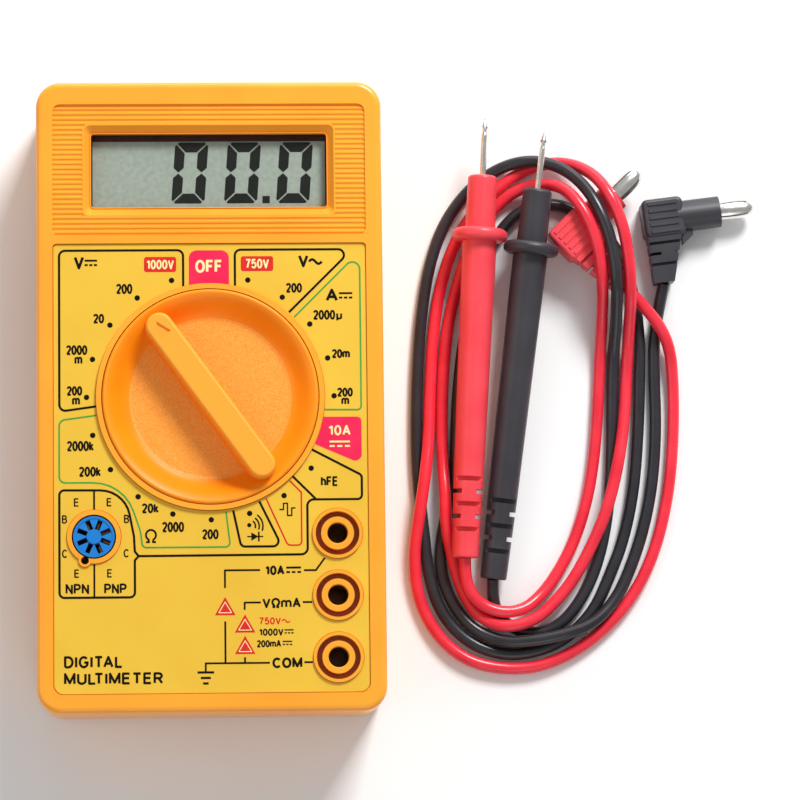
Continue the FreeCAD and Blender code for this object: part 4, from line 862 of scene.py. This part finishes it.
def digit_zero(screen, left):
    """A zero of six bars, mitred where they meet at the corners and pointed at the middle."""
    wide, high, thick, gap, corner = DIGIT_WIDTH, DIGIT_HEIGHT, SEGMENT_WIDTH, SEGMENT_GAP, DIGIT_CORNER
    bar = [
        (corner, 0), (wide - corner, 0), (wide - corner / 2 - gap, corner / 2 - gap),
        (wide - thick - 2 * gap, thick), (thick + 2 * gap, thick), (corner / 2 + gap, corner / 2 - gap),
    ]
    post = [
        (0, corner), (corner / 2 - gap, corner / 2 + gap), (thick, thick + 2 * gap),
        (thick, high / 2 - thick / 2), (thick / 2, high / 2 - gap), (0, high / 2 - thick / 2),
    ]
    shapes = [bar, [(x, high - y) for x, y in bar]]
    for side in (post, [(x, high - y) for x, y in post]):
        shapes += [side, [(wide - x, y) for x, y in side]]
    for shape in shapes:
        screen.plate([(left + x + y * DIGIT_SLANT, DIGIT_LOW_Y + y) for x, y in shape])


def display():
    """Three zeros and the decimal point, as dark segments on the glass."""
    screen = Flat(GLASS_TOP, GLASS_TOP + SEGMENT_THICK)
    for left in DIGIT_LEFTS:
        digit_zero(screen, left)
    screen.plate(box_outline(
        POINT_LEFT, DIGIT_LOW_Y + POINT_SIZE, POINT_LEFT + POINT_SIZE, DIGIT_LOW_Y, SHARP_CORNER
    ))
    screen.make("lcd_digits", finishes["segment"], "meter")


def painted_window_shadow():
    """Painted shade: a dark border on the window's under side, standing in for the opening's walls in shade
    and their shadow on the glass. It shows widest along the top of the opening.
    """
    left, top, right, bottom = WINDOW_OPENING
    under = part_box("lcd_window")[0].z / MM
    border = Flat(under - SHADE_LOW, under - SHADE_HIGH)
    far_left = left - SHADE_OUTSIDE
    far_right = right + SHADE_OUTSIDE
    top_edge = top - SHADE_TOP
    bottom_edge = bottom + SHADE_SIDE
    border.plate(box_outline(far_left, top + SHADE_OUTSIDE, far_right, top_edge, SHARP_CORNER))
    border.plate(box_outline(far_left, bottom_edge, far_right, bottom - SHADE_OUTSIDE, SHARP_CORNER))
    for x in (far_left, right - SHADE_SIDE):
        border.plate(box_outline(x, top_edge, x + SHADE_OUTSIDE + SHADE_SIDE, bottom_edge, SHARP_CORNER))
    border.make("painted_window_shadow", finishes["shade"], "meter")


display()
painted_window_shadow()

# ---- floor and light ----------------------------------------------------------
FLOOR_SIZE = 3.0
FLOOR_DROP = 0.05 * MM
SKY_STRENGTH = 0.35
# Each light's place, power and width, in metres and watts.
LIGHTS = {
    "key": ((0.36, 0.72, 0.66), 11.2, 0.3),
    "fill": ((-0.6, -0.1, 0.6), 1.0, 0.6),
    "low": ((0.1, -0.7, 0.5), 1.0, 0.5),
    "edge": ((0.05, 0.9, 0.16), 2.2, 0.5),
}


def add_floor():
    """A plain pale card, a hair below the object so that no two faces coincide."""
    half = FLOOR_SIZE / 2
    corners = [(x, y, -FLOOR_DROP) for x, y in ((-half, -half), (half, -half), (half, half), (-half, half))]
    mesh = bpy.data.meshes.new("floor")
    mesh.from_pydata(corners, [], [(0, 1, 2, 3)])
    mesh.materials.append(surface("floor_card", "F6F6F6", "F2F2F2", 0.9, mottle=80, grain=2, depth=0.002))
    floor = bpy.data.objects.new("floor", mesh)
    bpy.context.collection.objects.link(floor)


def add_light(name, place, power, size):
    """A square soft light, aimed at the middle of the object."""
    data = bpy.data.lights.new(name, "AREA")
    data.energy = power
    data.size = size
    light = bpy.data.objects.new(name, data)
    bpy.context.collection.objects.link(light)
    light.location = Vector(place)
    light.rotation_euler = (CAMERA_AIM - light.location).to_track_quat("-Z", "Y").to_euler()


def add_world():
    """An even white glow from all sides."""
    world = bpy.data.worlds.new("studio")
    world.use_nodes = True
    sky = world.node_tree.nodes["Background"]
    sky.inputs["Color"].default_value = (1, 1, 1, 1)
    sky.inputs["Strength"].default_value = SKY_STRENGTH
    bpy.context.scene.world = world


add_floor()
for name, (place, power, size) in LIGHTS.items():
    add_light(name, place, power, size)
add_world()
